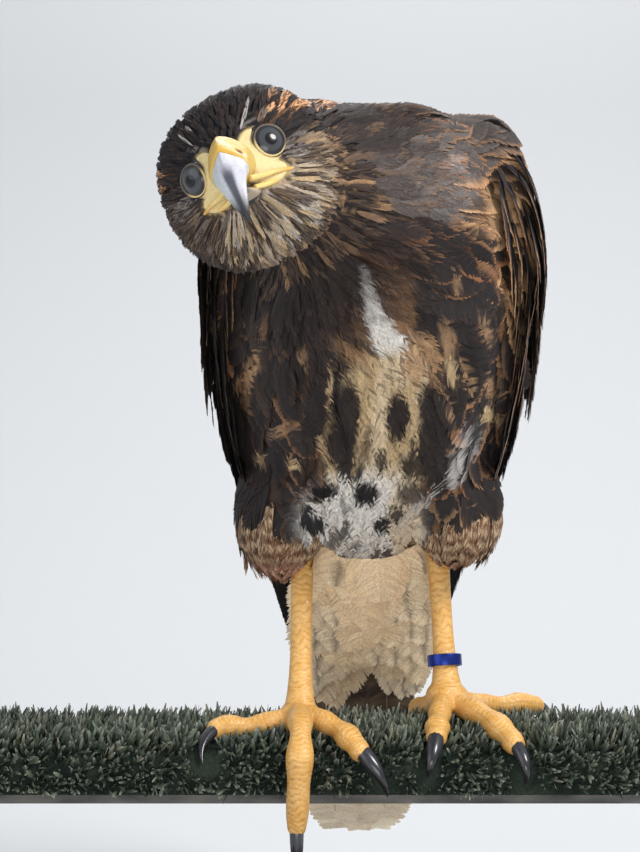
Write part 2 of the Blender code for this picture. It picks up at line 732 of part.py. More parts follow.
def make_tail(home, finish):
    """Tail base with twelve tail feathers, and tiers of coverts above and below it."""
    s = spread(0.1806, 0.240, 5)
    t = (s - s[0]) / (s[-1] - s[0])
    half = 0.0250 + (0.0125 - 0.0250) * t
    back = 0.0170 + (0.0050 - 0.0170) * t
    belly = 0.0270 + (0.0060 - 0.0270) * t
    stations = np.column_stack([s, half, back, belly])
    core = loft("tail", body_point(stations, s[:, None], section_angles(14)[None, :]), home, finish)
    feathers = collection("tail feathers")
    for k in range(TAIL_PAIRS):
        for side in (1, -1):
            layer = 0.0034 - TAIL_LAYER * (2 * k + (side < 0))

            def surface(t, w, k=k, side=side, layer=layer):
                s = TAIL_ROOT_S + (TAIL_TIP_S - TAIL_ROUND * k**2 - TAIL_ROOT_S) * t
                middle = side * (0.0026 + 0.0019 * k) * (0.60 + 0.60 * t)
                wide = 0.0130 if k else 0.0140
                x = middle + w * wide * outline(t, root=0.45, tip=0.35, round_from=0.86)
                return tail_point(s, x, layer)

            vane(f"rectrix {k} {side}", surface, feathers, along=3)
    tiers = (
        (4, 0.196, 0.284, 0.0235, 0.0105, -0.0125, -0.0150),
        (4, 0.194, 0.258, 0.0260, 0.0110, -0.0160, -0.0225),
        (3, 0.193, 0.228, 0.0245, 0.0120, -0.0200, -0.0285),
        (3, 0.196, 0.262, 0.0150, 0.0085, 0.0070, 0.0062),
        (3, 0.194, 0.232, 0.0160, 0.0090, 0.0110, 0.0105),
    )
    for tier, (count, root_s, tip_s, reach, half_wide, root_h, tip_h) in enumerate(tiers):
        for i in range(count):
            u = -1 + 2 * i / (count - 1)
            lift = 1 if root_h > 0 else -1

            def surface(t, w, u=u, lift=lift, root_s=root_s, tip_s=tip_s, reach=reach,
                        half_wide=half_wide, root_h=root_h, tip_h=tip_h):
                s = root_s + (tip_s - 0.010 * u * u - root_s) * t
                x = u * reach * (0.75 + 0.3 * t) + w * half_wide * outline(t)
                curl = 1 - 0.55 * (x / 0.034) ** 2
                height = (root_h + (tip_h - root_h) * t) * curl
                height = height + lift * VANE_TILT * w * (1 if u <= 0 else -1)
                return tail_point(s, x, height)

            vane(f"covert {tier} {i}", surface, feathers, along=3)
    join_all(core, feathers)
    return core


# Legs


def wing_guard(side):
    """The room that the wing takes: all that lies outside its inner surface."""
    s = np.concatenate([spread(-0.030, 0.147, 10), spread(0.151, 0.300, 8)])
    depth = np.where(s < 0.149, -0.0057, -0.0008)[:, None]
    phi = spread(8, 122, 13)[None, :]
    outer = body_point(WING_STATIONS, s[:, None], phi, 0.035, side)
    inner = body_point(WING_STATIONS, s[:, None], phi[:, ::-1], depth, side)
    return loft("wing room", np.concatenate([outer, inner], axis=1), bpy.context.scene.collection)


def make_thigh(name, leg, home, finish, torso):
    side = 1 if name == "left" else -1
    hip, hem = (np.array(leg[key]) for key in ("hip", "hem"))
    knee = hip * 0.5 + hem * 0.5 + np.array([side * 0.003, -0.008, 0.0])
    path = [hip, knee, hem + np.array([0, 0, 0.010]), hem]
    thigh = tube(f"thigh_{name}", path, (0.0200, 0.0205, 0.0165, 0.0115), home, finish, sides=16)
    locks = collection(f"thigh locks {name}")
    count = 9
    for i in range(count):
        angle = 2 * math.pi * i / count
        out = np.array([math.cos(angle), math.sin(angle), 0.0])
        over = np.array([-math.sin(angle), math.cos(angle), 0.0])
        drop = 0.004 + 0.004 * (0.5 + 0.5 * math.sin(angle + 0.6)) + 0.003 * max(0.0, side * out[0])

        def surface(t, w, out=out, over=over, drop=drop, i=i):
            centre = hem + np.array([0, 0, 0.016])
            reach = 0.0120 + 0.0060 * np.sin(np.clip(t, 0, 1) * math.pi * 0.55)
            down = -t * (0.018 + drop)
            width = 0.0058 * (1 - 0.8 * t**2.2)
            tilt = VANE_TILT * w
            return (centre + out * (reach + tilt)[..., None] + over * (w * width)[..., None]
                    + np.array([0, 0, 1.0]) * down[..., None])

        vane(f"lock {i}", surface, locks, along=3)
    join_all(thigh, locks)
    cut_by(thigh, torso)
    guard = wing_guard(side)
    cut_by(thigh, guard, gap=0)
    bpy.data.objects.remove(guard)
    return thigh


def make_tarsus(name, leg, home, finish, thigh):
    """Shank with a row of raised scutes down its front, from the feathered heel to the foot joint."""
    heel, foot = np.array(leg["heel"]), np.array(leg["foot"])
    top = foot + (heel - foot) * 0.80
    axis = top - foot
    length = np.linalg.norm(axis)
    axis = axis / length
    across = np.array([1.0, 0.0, 0.0])
    across -= axis * across.dot(axis)
    across /= np.linalg.norm(across)
    front = np.cross(axis, across)
    front = -front if front[1] > 0 else front
    angles = np.radians(section_angles(12))
    rings = []
    for i in range(SCUTES):
        for part, step in ((0.0, 1.0), (0.86, 0.0)):
            along = (i + part) / SCUTES
            swell = 1 + 0.55 * max(0.0, 1 - along / 0.22) ** 1.5 + 0.10 * along**3
            facing = np.clip(np.cos(angles), 0, 1) ** 1.2
            radius = TARSUS_RADIUS * swell + SCUTE_STEP * step * facing
            deep = 1.06
            rings.append(foot + axis * (length * along + 0.004)
                         + np.cos(angles)[:, None] * front * (radius * deep)[:, None]
                         + np.sin(angles)[:, None] * across * radius[:, None])
    tarsus = loft(f"tarsus_{name}", rings, home, finish)
    cut_by(thigh, tarsus)
    return tarsus


def make_foot(name, leg, home, finish, horn, tarsus, turf):
    """Ball of the foot with four toes, each toe with its pads and claw."""
    joint = np.array(leg["foot"])
    middle = joint + np.array([0.0, -0.001, -0.0035])
    foot = ball(f"foot_{name}", middle, 0.0086, home, finish, segments=12, rings=7)
    for vert in foot.data.vertices:
        vert.co.z = (vert.co.z - joint[2]) * 0.86 + joint[2]
    pieces = collection(f"toes {name}")
    claws = []
    for toe, offsets in TOES[name].items():
        points = [joint + np.array([0, 0, -0.003])] + [joint + np.array(o) for o in offsets[:4]]
        thick = TOE_RADIUS[toe]
        sizes = thick * np.array((1.15, 1.08, 1.0, 1.02, 0.8))
        tube(f"toe {toe}", points, sizes, pieces, sides=8, steps=2)
        knuckle = joint + np.array(offsets[3])
        middle, tip = joint + np.array(offsets[4]), joint + np.array(offsets[5])
        start = joint + np.array(offsets[2])
        inward = (knuckle - start) / np.linalg.norm(knuckle - start)
        size = CLAW_RADIUS[toe]
        start = knuckle - inward * CLAW_SET + np.array([0, 0, CLAW_LIFT])
        t = spread(0, 1, 5)[:, None]
        path = start + (4 * middle - 3 * start - tip) * t + (2 * start + 2 * tip - 4 * middle) * t**2
        sizes = size * np.array(CLAW_TAPER)
        claws.append(tube(f"claw_{name}_{toe}", path, sizes, home, horn, sides=6, steps=1))
    join_all(foot, pieces)
    for claw in claws:
        cut_by(foot, claw)
        cut_by(claw, turf)
    cut_by(foot, tarsus)
    cut_by(foot, turf)
    return foot


def make_ring(home, finish, leg, tarsus):
    """Flat band round the left shank, tilted as it hangs on the swell above the foot."""
    heel, foot = np.array(leg["heel"]), np.array(leg["foot"])
    axis = (heel - foot) / np.linalg.norm(heel - foot)
    middle = foot + (heel - foot) * RING_ALONG
    profile = bpy.data.meshes.new("ring profile")
    outer = RING_INNER + RING_WALL
    half = RING_HEIGHT / 2
    corners = [(outer, 0, half), (outer, 0, -half), (RING_INNER, 0, -half), (RING_INNER, 0, half)]
    profile.from_pydata(corners, [(0, 1), (1, 2), (2, 3), (3, 0)], [])
    ring = bpy.data.objects.new("leg_ring", profile)
    home.objects.link(ring)
    turn = ring.modifiers.new("turn", "SCREW")
    turn.steps = turn.render_steps = 22
    turn.use_merge_vertices = True
    turn.merge_threshold = 0.00005
    apply_modifiers(ring)
    lean = Vector(axis).to_track_quat("Z", "Y").to_matrix().to_4x4()
    ring.data.transform(Matrix.Translation(Vector(middle)) @ lean)
    work = bmesh.new()
    work.from_mesh(ring.data)
    bmesh.ops.recalc_face_normals(work, faces=work.faces)
    work.to_mesh(ring.data)
    work.free()
    ring.data.materials.clear()
    ring.data.materials.append(finish)
    cut_by(ring, tarsus)
    return ring


# Perch and stand


def rounded_strip(name, depth, low, high, corner, length, home, finish, steps=4):
    """A bar along X whose upper front and back edges are rounded."""
    profile = [(-depth / 2, low), (depth / 2, low)]
    for middle_y, first in ((depth / 2 - corner, 0), (-depth / 2 + corner, 90)):
        for angle in np.radians(spread(first, first + 90, steps + 1)):
            profile.append((middle_y + corner * math.cos(angle), high - corner + corner * math.sin(angle)))
    rings = [[(x, y, z) for y, z in profile] for x in spread(-length / 2, length / 2, 2)]
    return loft(name, rings, home, finish)


def box(name, size, centre, home, finish, bevel=0.0):
    mesh = bpy.data.meshes.new(name)
    work = bmesh.new()
    bmesh.ops.create_cube(work, size=1.0)
    work.to_mesh(mesh)
    work.free()
    mesh.transform(Matrix.Translation(centre) @ Matrix.Diagonal((*size, 1.0)))
    made = bpy.data.objects.new(name, mesh)
    home.objects.link(made)
    mesh.materials.append(finish)
    if bevel:
        edge = made.modifiers.new("edge", "BEVEL")
        edge.width = bevel
        edge.segments = 2
    return made


def make_stand(home, turf_finish, metal, board):
    sizes = (TURF_DEPTH, TURF_BOTTOM, SOLE_Z, TURF_ROUND, BAR_LENGTH)
    turf = rounded_strip("perch_turf", *sizes, home, turf_finish)
    bar_size = (BAR_LENGTH, BAR_DEPTH, BAR_TOP - BAR_BOTTOM)
    bar = box("perch_bar", bar_size, Vector((0, 0, (BAR_TOP + BAR_BOTTOM) / 2)), home, metal)
    cut_by(turf, bar)
    box("stand_base", BASE_SIZE, Vector((0, 0, BASE_SIZE[2] / 2)), home, board, BASE_BEVEL)
    for side, name in ((1, "left"), (-1, "right")):
        low, high = BASE_SIZE[2] + GAP, BAR_BOTTOM - GAP
        mesh = bpy.data.meshes.new(f"stand_rod_{name}")
        work = bmesh.new()
        sizes = {"radius1": ROD_RADIUS, "radius2": ROD_RADIUS, "depth": high - low}
        bmesh.ops.create_cone(work, cap_ends=True, segments=16, **sizes)
        work.to_mesh(mesh)
        work.free()
        rod = bpy.data.objects.new(f"stand_rod_{name}", mesh)
        rod.location = (side * ROD_X, 0, (low + high) / 2)
        home.objects.link(rod)
        mesh.materials.append(metal)
    return turf


def main():
    for obj in list(bpy.data.objects):
        bpy.data.objects.remove(obj)
    hawk = collection("harris hawk")
    plumage = material("plumage", DARK_BROWN, 0.75)
    rufous = material("trousers", RUFOUS, 0.8)
    tail_finish = material("tail", CREAM, 0.7)
    skin = material("yellow skin", YELLOW, 0.45)
    horn = material("bill horn", HORN_GREY, 0.3)
    black = material("claw horn", CLAW_BLACK, 0.25)
    eye = material("eye", EYE_DARK, 0.05)
    blue = material("ring", RING_BLUE, 0.3)
    green = material("turf", TURF_GREEN, 0.8)
    metal = material("stand", STAND_GREY, 0.4)
    board = material("stand board", BOARD_BROWN, 0.5)

    turf = make_stand(hawk, green, metal, board)
    torso = make_torso(hawk, plumage)
    head = make_head(hawk, plumage)
    cut_by(torso, head)
    neck = make_neck("neck", hawk, plumage)
    cut_by(neck, head)
    cut_by(neck, torso)
    neck_room = make_neck("neck room", bpy.context.scene.collection)
    for side, name in ((1, "left"), (-1, "right")):
        make_wing(side, name, hawk, plumage, (torso, neck_room, head))
    bpy.data.objects.remove(neck_room)
    make_tail(hawk, tail_finish)
    clear_bill_room(head)
    lids = collection("lids")
    for side in (1, -1):
        lid_ring(f"lid {side}", side, lids)
    join_all(head, lids)
    make_bill(hawk, skin, horn)
    for side, name in ((1, "left"), (-1, "right")):
        cut_by(head, make_eye(side, f"eye_{name}", hawk, eye))
    for name, leg in LEGS.items():
        thigh = make_thigh(name, leg, hawk, rufous, torso)
        tarsus = make_tarsus(name, leg, hawk, skin, thigh)
        make_foot(name, leg, hawk, skin, black, tarsus, turf)
        if name == "left":
            make_ring(hawk, blue, leg, tarsus)
    for obj in hawk.objects:
        obj.data.shade_smooth()
        obj.data.set_sharp_from_angle(angle=math.radians(40))


main()
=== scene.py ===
import math
import bpy
import numpy as np
from mathutils import Vector, Matrix
from mathutils.bvhtree import BVHTree


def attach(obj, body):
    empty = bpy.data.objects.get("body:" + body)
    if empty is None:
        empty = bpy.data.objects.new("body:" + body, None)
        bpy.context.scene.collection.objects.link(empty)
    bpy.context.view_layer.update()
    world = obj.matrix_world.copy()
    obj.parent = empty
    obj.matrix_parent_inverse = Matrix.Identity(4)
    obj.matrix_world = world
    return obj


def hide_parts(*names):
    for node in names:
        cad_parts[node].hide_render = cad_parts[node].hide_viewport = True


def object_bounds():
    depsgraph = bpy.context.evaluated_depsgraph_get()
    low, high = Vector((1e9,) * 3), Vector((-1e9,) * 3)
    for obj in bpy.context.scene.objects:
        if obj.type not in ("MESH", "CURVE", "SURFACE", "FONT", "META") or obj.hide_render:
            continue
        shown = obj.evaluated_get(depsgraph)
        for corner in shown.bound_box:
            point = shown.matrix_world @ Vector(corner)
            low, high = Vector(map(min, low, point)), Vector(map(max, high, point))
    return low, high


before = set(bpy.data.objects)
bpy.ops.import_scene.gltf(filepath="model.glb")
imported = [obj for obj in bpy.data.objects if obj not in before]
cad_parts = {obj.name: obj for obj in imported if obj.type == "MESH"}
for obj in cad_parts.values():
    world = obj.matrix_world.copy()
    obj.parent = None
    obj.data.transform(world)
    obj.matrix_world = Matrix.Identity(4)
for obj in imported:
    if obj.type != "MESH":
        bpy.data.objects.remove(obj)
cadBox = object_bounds()
print("frame loaded")

perch = {"soleZ": 0.114, "length": 0.300, "turfDepth": 0.053, "turfBottom": 0.097, "turfRound": 0.011}
soleZ = perch["soleZ"]
hawkX = 0.019


# shared maths


def smoothStep(x, low, high):
    # 0 below low, 1 above high, with a soft S between
    t = np.clip((x - low) / (high - low), 0, 1)
    return t * t * (3 - 2 * t)


def curveThrough(table, value):
    # smooth cubic through the rows of a table, by its first column
    rows = np.asarray(table, float)
    knots, columns = rows[:, 0], rows[:, 1:]
    slopes = np.gradient(columns, knots, axis=0)
    value = np.clip(np.asarray(value, float), knots[0], knots[-1])
    at = np.clip(np.searchsorted(knots, value) - 1, 0, len(knots) - 2)
    width = (knots[at + 1] - knots[at])[..., None]
    t = (value - knots[at])[..., None] / width
    return (
        (2 * t**3 - 3 * t**2 + 1) * columns[at]
        + (t**3 - 2 * t**2 + t) * width * slopes[at]
        + (3 * t**2 - 2 * t**3) * columns[at + 1]
        + (t**3 - t**2) * width * slopes[at + 1]
    )


def unit(v):
    return v / (np.linalg.norm(v, axis=-1, keepdims=True) + 1e-12)


def across(v, normal):
    # the part of v that lies along the surface, made one long
    return unit(v - normal * np.sum(v * normal, axis=-1, keepdims=True))


def mix(a, b, share):
    return a + (b - a) * share


def fullTurn(count, whole=2 * math.pi):
    # even angles round a circle
    return np.linspace(0, whole, count + 1)[:-1]


# meshes and materials


def newMaterial(name, rough=0.6, sheen=0.0, coat=0.0, specular=0.5, metal=0.0):
    made = bpy.data.materials.new(name)
    made.use_nodes = True
    shader = made.node_tree.nodes["Principled BSDF"]
    shader.inputs["Roughness"].default_value = rough
    shader.inputs["Metallic"].default_value = metal
    shader.inputs["Specular IOR Level"].default_value = specular
    if sheen:
        shader.inputs["Sheen Weight"].default_value = sheen
        shader.inputs["Sheen Roughness"].default_value = 0.4
    if coat:
        shader.inputs["Coat Weight"].default_value = coat
        shader.inputs["Coat Roughness"].default_value = 0.05
    return made, made.node_tree, shader


def addNode(tree, kind, **inputs):
    node = tree.nodes.new(kind)
    for key, value in inputs.items():
        node.inputs[key].default_value = value
    return node


def objectNoise(tree, scale, detail=3.0, stretch=(1, 1, 1)):
    place = tree.nodes.new("ShaderNodeTexCoord")
    mapping = addNode(tree, "ShaderNodeMapping")
    mapping.inputs["Scale"].default_value = stretch
    tree.links.new(place.outputs["Object"], mapping.inputs["Vector"])
    noise = addNode(tree, "ShaderNodeTexNoise", Scale=scale, Detail=detail)
    tree.links.new(mapping.outputs["Vector"], noise.inputs["Vector"])
    return noise


def colourRamp(tree, noise, shader, low, high):
    # base colour from a noise, low and high being (noise value, red, green, blue)
    ramp = tree.nodes.new("ShaderNodeValToRGB")
    for element, (position, *colour) in zip(ramp.color_ramp.elements, (low, high)):
        element.position, element.color = position, (*colour, 1)
    tree.links.new(noise, ramp.inputs["Fac"])
    tree.links.new(ramp.outputs["Color"], shader.inputs["Base Color"])


def addBump(tree, noise, shader, strength, distance):
    lift = addNode(tree, "ShaderNodeBump", Strength=strength, Distance=distance)
    tree.links.new(noise.outputs["Fac"], lift.inputs["Height"])
    tree.links.new(lift.outputs["Normal"], shader.inputs["Normal"])


def shadeNode(tree):
    # the colours that makePiece keeps in the mesh
    node = tree.nodes.new("ShaderNodeAttribute")
    node.attribute_name = "shade"
    return node


def paintedMaterial(name, rough, speckle=0.25, scale=900, bump=0.0, bumpScale=1200, **more):
    # colour from the mesh's own "shade" attribute, broken up by a fine grain
    made, tree, shader = newMaterial(name, rough, **more)
    shade = shadeNode(tree)
    grain = objectNoise(tree, scale)
    ramp = addNode(tree, "ShaderNodeMapRange", **{
        "From Min": 0.3, "From Max": 0.7, "To Min": 1 - speckle, "To Max": 1 + speckle})
    tree.links.new(grain.outputs["Fac"], ramp.inputs["Value"])
    scaled = tree.nodes.new("ShaderNodeVectorMath")
    scaled.operation = "SCALE"
    tree.links.new(shade.outputs["Color"], scaled.inputs[0])
    tree.links.new(ramp.outputs["Result"], scaled.inputs["Scale"])
    tree.links.new(scaled.outputs["Vector"], shader.inputs["Base Color"])
    if bump:
        addBump(tree, objectNoise(tree, bumpScale), shader, bump, 0.0004)
    return made


def addObject(name, data):
    made = bpy.data.objects.new(name, data)
    bpy.context.scene.collection.objects.link(made)
    return made


def makePiece(name, points, faces, material, colours=None, bakeUv=None, smooth=True, replaced=()):
    # faces is a list of index arrays, each (n, 3) or (n, 4)
    mesh = bpy.data.meshes.new(name)
    points = np.asarray(points, np.float32).reshape(-1, 3)
    faces = [np.asarray(f, np.int32) for f in faces if len(f)]
    corners = np.concatenate([f.ravel() for f in faces])
    sizes = np.concatenate([np.full(len(f), f.shape[1]) for f in faces])
    starts = np.concatenate([[0], np.cumsum(sizes)[:-1]]).astype(np.int32)
    mesh.vertices.add(len(points))
    mesh.vertices.foreach_set("co", points.ravel())
    mesh.loops.add(len(corners))
    mesh.loops.foreach_set("vertex_index", corners)
    mesh.polygons.add(len(starts))
    mesh.polygons.foreach_set("loop_start", starts)
    mesh.update(calc_edges=True)
    mesh.validate()
    if colours is not None:
        layer = mesh.attributes.new("shade", "FLOAT_COLOR", "POINT")
        rgba = np.ones((len(points), 4), np.float32)
        rgba[:, :3] = np.clip(np.asarray(colours).reshape(-1, 3), 0, 1)
        layer.data.foreach_set("color", rgba.ravel())
    if bakeUv is not None:
        layer = mesh.uv_layers.new(name="OFBake")
        index = np.empty(len(mesh.loops), np.int32)
        mesh.loops.foreach_get("vertex_index", index)
        uv = np.asarray(bakeUv, np.float32).reshape(-1, 2)[index]
        layer.data.foreach_set("uv", uv.ravel())
    mesh.materials.append(material)
    if smooth:
        mesh.shade_smooth()
    made = addObject(name, mesh)
    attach(made, "root")
    if replaced:
        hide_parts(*replaced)
    return made


def gridFaces(rows, columns, closed=True):
    # quads of a rows x columns grid, its columns joined round when closed
    last = columns if closed else columns - 1
    i, j = np.meshgrid(np.arange(rows - 1), np.arange(last), indexing="ij")
    a = i * columns + j
    b = i * columns + (j + 1) % columns
    return np.stack([a, b, b + columns, a + columns], -1).reshape(-1, 4)


def torusFaces(rows, columns):
    # the same grid with its last row joined to its first one too
    return gridFaces(rows + 1, columns) % (rows * columns)


def stripFaces(index):
    # quads along strips, index being the point numbers (strips, steps, 2)
    corners = [index[:, :-1, 0], index[:, :-1, 1], index[:, 1:, 1], index[:, 1:, 0]]
    return np.stack(corners, -1).reshape(-1, 4)


def outward(points, faces):
    # turns every face round when the closed shape's volume comes out negative
    total = 0.0
    for f in faces:
        p = points[f]
        for k in range(1, f.shape[1] - 1):
            total += np.sum(np.cross(p[:, 0], p[:, k]) * p[:, k + 1])
    return [f[:, ::-1] for f in faces] if total < 0 else faces


def closedLoft(rings):
    # rings (rows, sides, 3) joined into one closed shape with a point at each end
    rows, sides = rings.shape[:2]
    points = np.concatenate([rings.reshape(-1, 3), rings[0].mean(0)[None], rings[-1].mean(0)[None]])
    around = np.arange(sides)
    after = (around + 1) % sides
    base = (rows - 1) * sides
    first = np.stack([np.full(sides, rows * sides), after, around], -1)
    last = np.stack([np.full(sides, rows * sides + 1), base + around, base + after], -1)
    faces = [gridFaces(rows, sides), np.concatenate([first, last])]
    return points, outward(points, faces)


def loftColours(colour, even=True):
    # colours of a closedLoft: those of its rings, and at each end their mean or the ring's first one
    ends = [ring.mean(0)[None] if even else ring[:1] for ring in (colour[0], colour[-1])]
    return np.concatenate([colour.reshape(-1, 3)] + ends)


def joinShapes(shapes):
    # several (points, faces, colours) as one
    allPoints, allFaces, allColours, start = [], [], [], 0
    for points, faces, colours in shapes:
        allPoints.append(points)
        allFaces += [f + start for f in faces]
        allColours.append(np.broadcast_to(colours, points.shape))
        start += len(points)
    return np.concatenate(allPoints), allFaces, np.concatenate(allColours)


def meltShapes(shapes, voxel, rounds):
    # several (points, faces) remeshed into one smooth skin: its points, their normals and its faces
    points, faces, _ = joinShapes([(p, f, (0, 0, 0)) for p, f in shapes])
    mesh = bpy.data.meshes.new("draft")
    mesh.from_pydata(points.tolist(), [], [q.tolist() for f in faces for q in f])
    draft = addObject("draft", mesh)
    melt = draft.modifiers.new("melt", "REMESH")
    melt.mode = "VOXEL"
    melt.voxel_size = voxel
    soften = draft.modifiers.new("soften", "SMOOTH")
    soften.factor = 0.5
    soften.iterations = rounds
    done = bpy.data.meshes.new_from_object(draft.evaluated_get(bpy.context.evaluated_depsgraph_get()))
    points, normals = np.empty((2, len(done.vertices) * 3), np.float32)
    done.vertices.foreach_get("co", points)
    done.vertices.foreach_get("normal", normals)
    points, normals = points.reshape(-1, 3).astype(float), normals.reshape(-1, 3).astype(float)
    corners = [tuple(p.vertices) for p in done.polygons]
    faces = [np.array([c for c in corners if len(c) == n], np.int32).reshape(-1, n) for n in (4, 3)]
    bpy.data.objects.remove(draft)
    return points, normals, outward(points, [f for f in faces if len(f)])


def pipe(path, radii, sides=16, steps=8):
    # round bar along a smooth path: centre(t) + radius(t) * (cos a * side + sin a * up)
    path, radii = np.asarray(path, float), np.asarray(radii, float)
    table = np.column_stack([np.linspace(0, 1, len(path)), path, radii])
    t = np.linspace(0, 1, (len(path) - 1) * steps + 1)
    values = curveThrough(table, t)
    centre, radius = values[:, :3], values[:, 3]
    along = unit(np.gradient(centre, axis=0))
    guide = np.array([0.0, 0.0, 1.0]) if abs(along[0][2]) < 0.8 else np.array([0.0, 1.0, 0.0])
    side = np.cross(along[0], guide)
    sideways, upward = [], []
    for way in along:
        side = unit(side - way * side.dot(way))
        sideways.append(side)
        upward.append(np.cross(side, way))
    sideways, upward = np.array(sideways), np.array(upward)
    turn = fullTurn(sides)
    cosine, sine = np.cos(turn)[None, :, None], np.sin(turn)[None, :, None]
    ring = cosine * sideways[:, None] + sine * upward[:, None]
    return centre[:, None] + ring * radius[:, None, None], centre, along


# the body's own frame: s from the shoulders to the tail tip, phi from the back round to the belly

body = {
    "shoulder": (-0.070, soleZ + 0.215),
    "bodySlope": 49.0,
    "tailSlope": 54.0,
    "tailTurn": 0.165,
    "power": 2.2,
    "torso": (  # s, half width, depth to the back and to the belly
        (-0.025, 0.008, 0.004, 0.008),
        (-0.018, 0.024, 0.011, 0.024),
        (0.000, 0.041, 0.028, 0.039),
        (0.030, 0.049, 0.041, 0.048),
        (0.070, 0.051, 0.043, 0.050),
        (0.110, 0.050, 0.041, 0.048),
        (0.145, 0.044, 0.036, 0.040),
        (0.167, 0.034, 0.027, 0.030),
        (0.180, 0.026, 0.018, 0.021),
        (0.240, 0.0125, 0.005, 0.006),
    ),
    "wing": (
        (-0.030, 0.030, 0.024, 0.028),
        (0.000, 0.0435, 0.0345, 0.0405),
        (0.030, 0.0505, 0.0425, 0.0495),
        (0.070, 0.0525, 0.0445, 0.0515),
        (0.110, 0.0520, 0.0430, 0.0500),
        (0.145, 0.0490, 0.0395, 0.0455),
        (0.177, 0.0440, 0.0350, 0.0400),
        (0.215, 0.0370, 0.0280, 0.0320),
        (0.260, 0.0300, 0.0210, 0.0230),
        (0.300, 0.0250, 0.0170, 0.0170),
        (0.345, 0.0220, 0.0150, 0.0150),
    ),
    "neckRadii": (0.0350, 0.0330, 0.0300, 0.0265),
    "coat": 0.0030,  # how deep the skin lies under the solids' surface
}

spineStep = 0.001
spineS = np.arange(-0.08, 0.45, spineStep)
bendShare = np.clip((spineS - body["tailTurn"] + 0.02) / 0.04, 0, 1)
bend = body["tailSlope"] - body["bodySlope"]
spineSlope = np.radians(body["bodySlope"] + bend * bendShare * bendShare * (3 - 2 * bendShare))
spineY = np.cumsum(np.cos(spineSlope)) * spineStep
spineZ = -np.cumsum(np.sin(spineSlope)) * spineStep
zeroPlace = np.searchsorted(spineS, 0.0)
spineY += body["shoulder"][0] - spineY[zeroPlace]
spineZ += body["shoulder"][1] - spineZ[zeroPlace]


def spineAt(s):
    slope = np.interp(s, spineS, spineSlope)
    y, z = np.interp(s, spineS, spineY), np.interp(s, spineS, spineZ)
    zero = np.zeros_like(y)
    return (np.stack([zero + hawkX, y, z], -1), np.stack([zero, np.sin(slope), np.cos(slope)], -1),
            np.stack([zero, np.cos(slope), -np.sin(slope)], -1))


def bodyPoint(stations, s, phi, height=0.0, side=1.0):
    # a rounded box section across the spine: x = |sin|^p * (half + height), up = |cos|^p * (depth + height)
    s, phi, height = np.broadcast_arrays(np.asarray(s, float), np.radians(phi), height)
    half, back, belly = np.moveaxis(curveThrough(stations, s), -1, 0)
    middle, out, _ = spineAt(s)
    sine, cosine = np.sin(phi), np.cos(phi)
    power = 2.0 / body["power"]
    wide = np.sign(sine) * np.abs(sine) ** power * (half + height)
    up = np.sign(cosine) * np.abs(cosine) ** power * (np.where(cosine > 0, back, belly) + height)
    point = middle + up[..., None] * out
    point[..., 0] += wide * side
    return point


def tailPoint(s, x, height):
    s, x, height = np.broadcast_arrays(np.asarray(s, float), x, height)
    middle, out, _ = spineAt(s)
    point = middle + height[..., None] * out
    point[..., 0] += x
    return point


# head frame: r to the bird's left, f forward, u up, from midway between the eyes

head = {
    "eyeMid": (-0.028, -0.127, soleZ + 0.2124),
    "look": (2.9, -5.6),
    "roll": 27.0,
    "nod": 8.0,
    "turn": -6.5,
    "power": 2.3,
    "eye": (0.0146, 0.0012),  # r and f of an eye's middle
    "stations": (  # f, half width, height above and below the middle, and the middle's u
        (-0.0610, 0.0040, 0.0040, 0.0040, -0.0020),
        (-0.0565, 0.0150, 0.0145, 0.0150, -0.0025),
        (-0.0470, 0.0245, 0.0235, 0.0240, -0.0030),
        (-0.0340, 0.0300, 0.0290, 0.0285, -0.0036),
        (-0.0220, 0.0310, 0.0305, 0.0292, -0.0044),
        (-0.0140, 0.0287, 0.0287, 0.0282, -0.0060),
        (-0.0085, 0.0236, 0.0246, 0.0255, -0.0075),
        (-0.0040, 0.0174, 0.0195, 0.0212, -0.0080),
        (0.0010, 0.0120, 0.0145, 0.0160, -0.0070),
        (0.0060, 0.0070, 0.0100, 0.0110, -0.0060),
    ),
}


def headAxes():
    turn, tip = (math.radians(a) for a in head["look"])
    forward = Vector((math.sin(turn) * math.cos(tip), -math.cos(turn) * math.cos(tip), math.sin(tip)))
    left = Vector((0, 0, 1)).cross(-forward).normalized()
    left = -left if left.x < 0 else left
    up = left.cross(forward)
    up = -up if up.z < 0 else up
    basis = Matrix((left, forward, up)).transposed()
    rolled, nodded, turned = (Matrix.Rotation(math.radians(angle), 3, axis) for angle, axis in (
        (-head["roll"], "Y"), (head["nod"], "X"), (-head["turn"], "Z")))
    return np.array(basis @ (rolled @ nodded @ turned), float)


headTurn = headAxes()
eyeMid = np.array(head["eyeMid"])


def headPoint(points):
    return np.asarray(points, float) @ headTurn.T + eyeMid


def headPlace(points):
    # row points back into the head's r, f, u
    return (np.asarray(points, float) - eyeMid) @ headTurn


def headSurface(f, turn, inset=0.0):
    # section of the head at f, turn in degrees from the crown
    half, up, low, centre = np.moveaxis(curveThrough(head["stations"], f), -1, 0)
    sine, cosine = np.sin(np.radians(turn)), np.cos(np.radians(turn))
    power = 2.0 / head["power"]
    r = np.sign(sine) * np.abs(sine) ** power * np.maximum(half - inset, 0.001)
    deep = np.where(cosine > 0, up, low) - inset
    u = centre + np.sign(cosine) * np.abs(cosine) ** power * np.maximum(deep, 0.001)
    return headPoint(np.stack([r, f + 0 * r, u], -1))


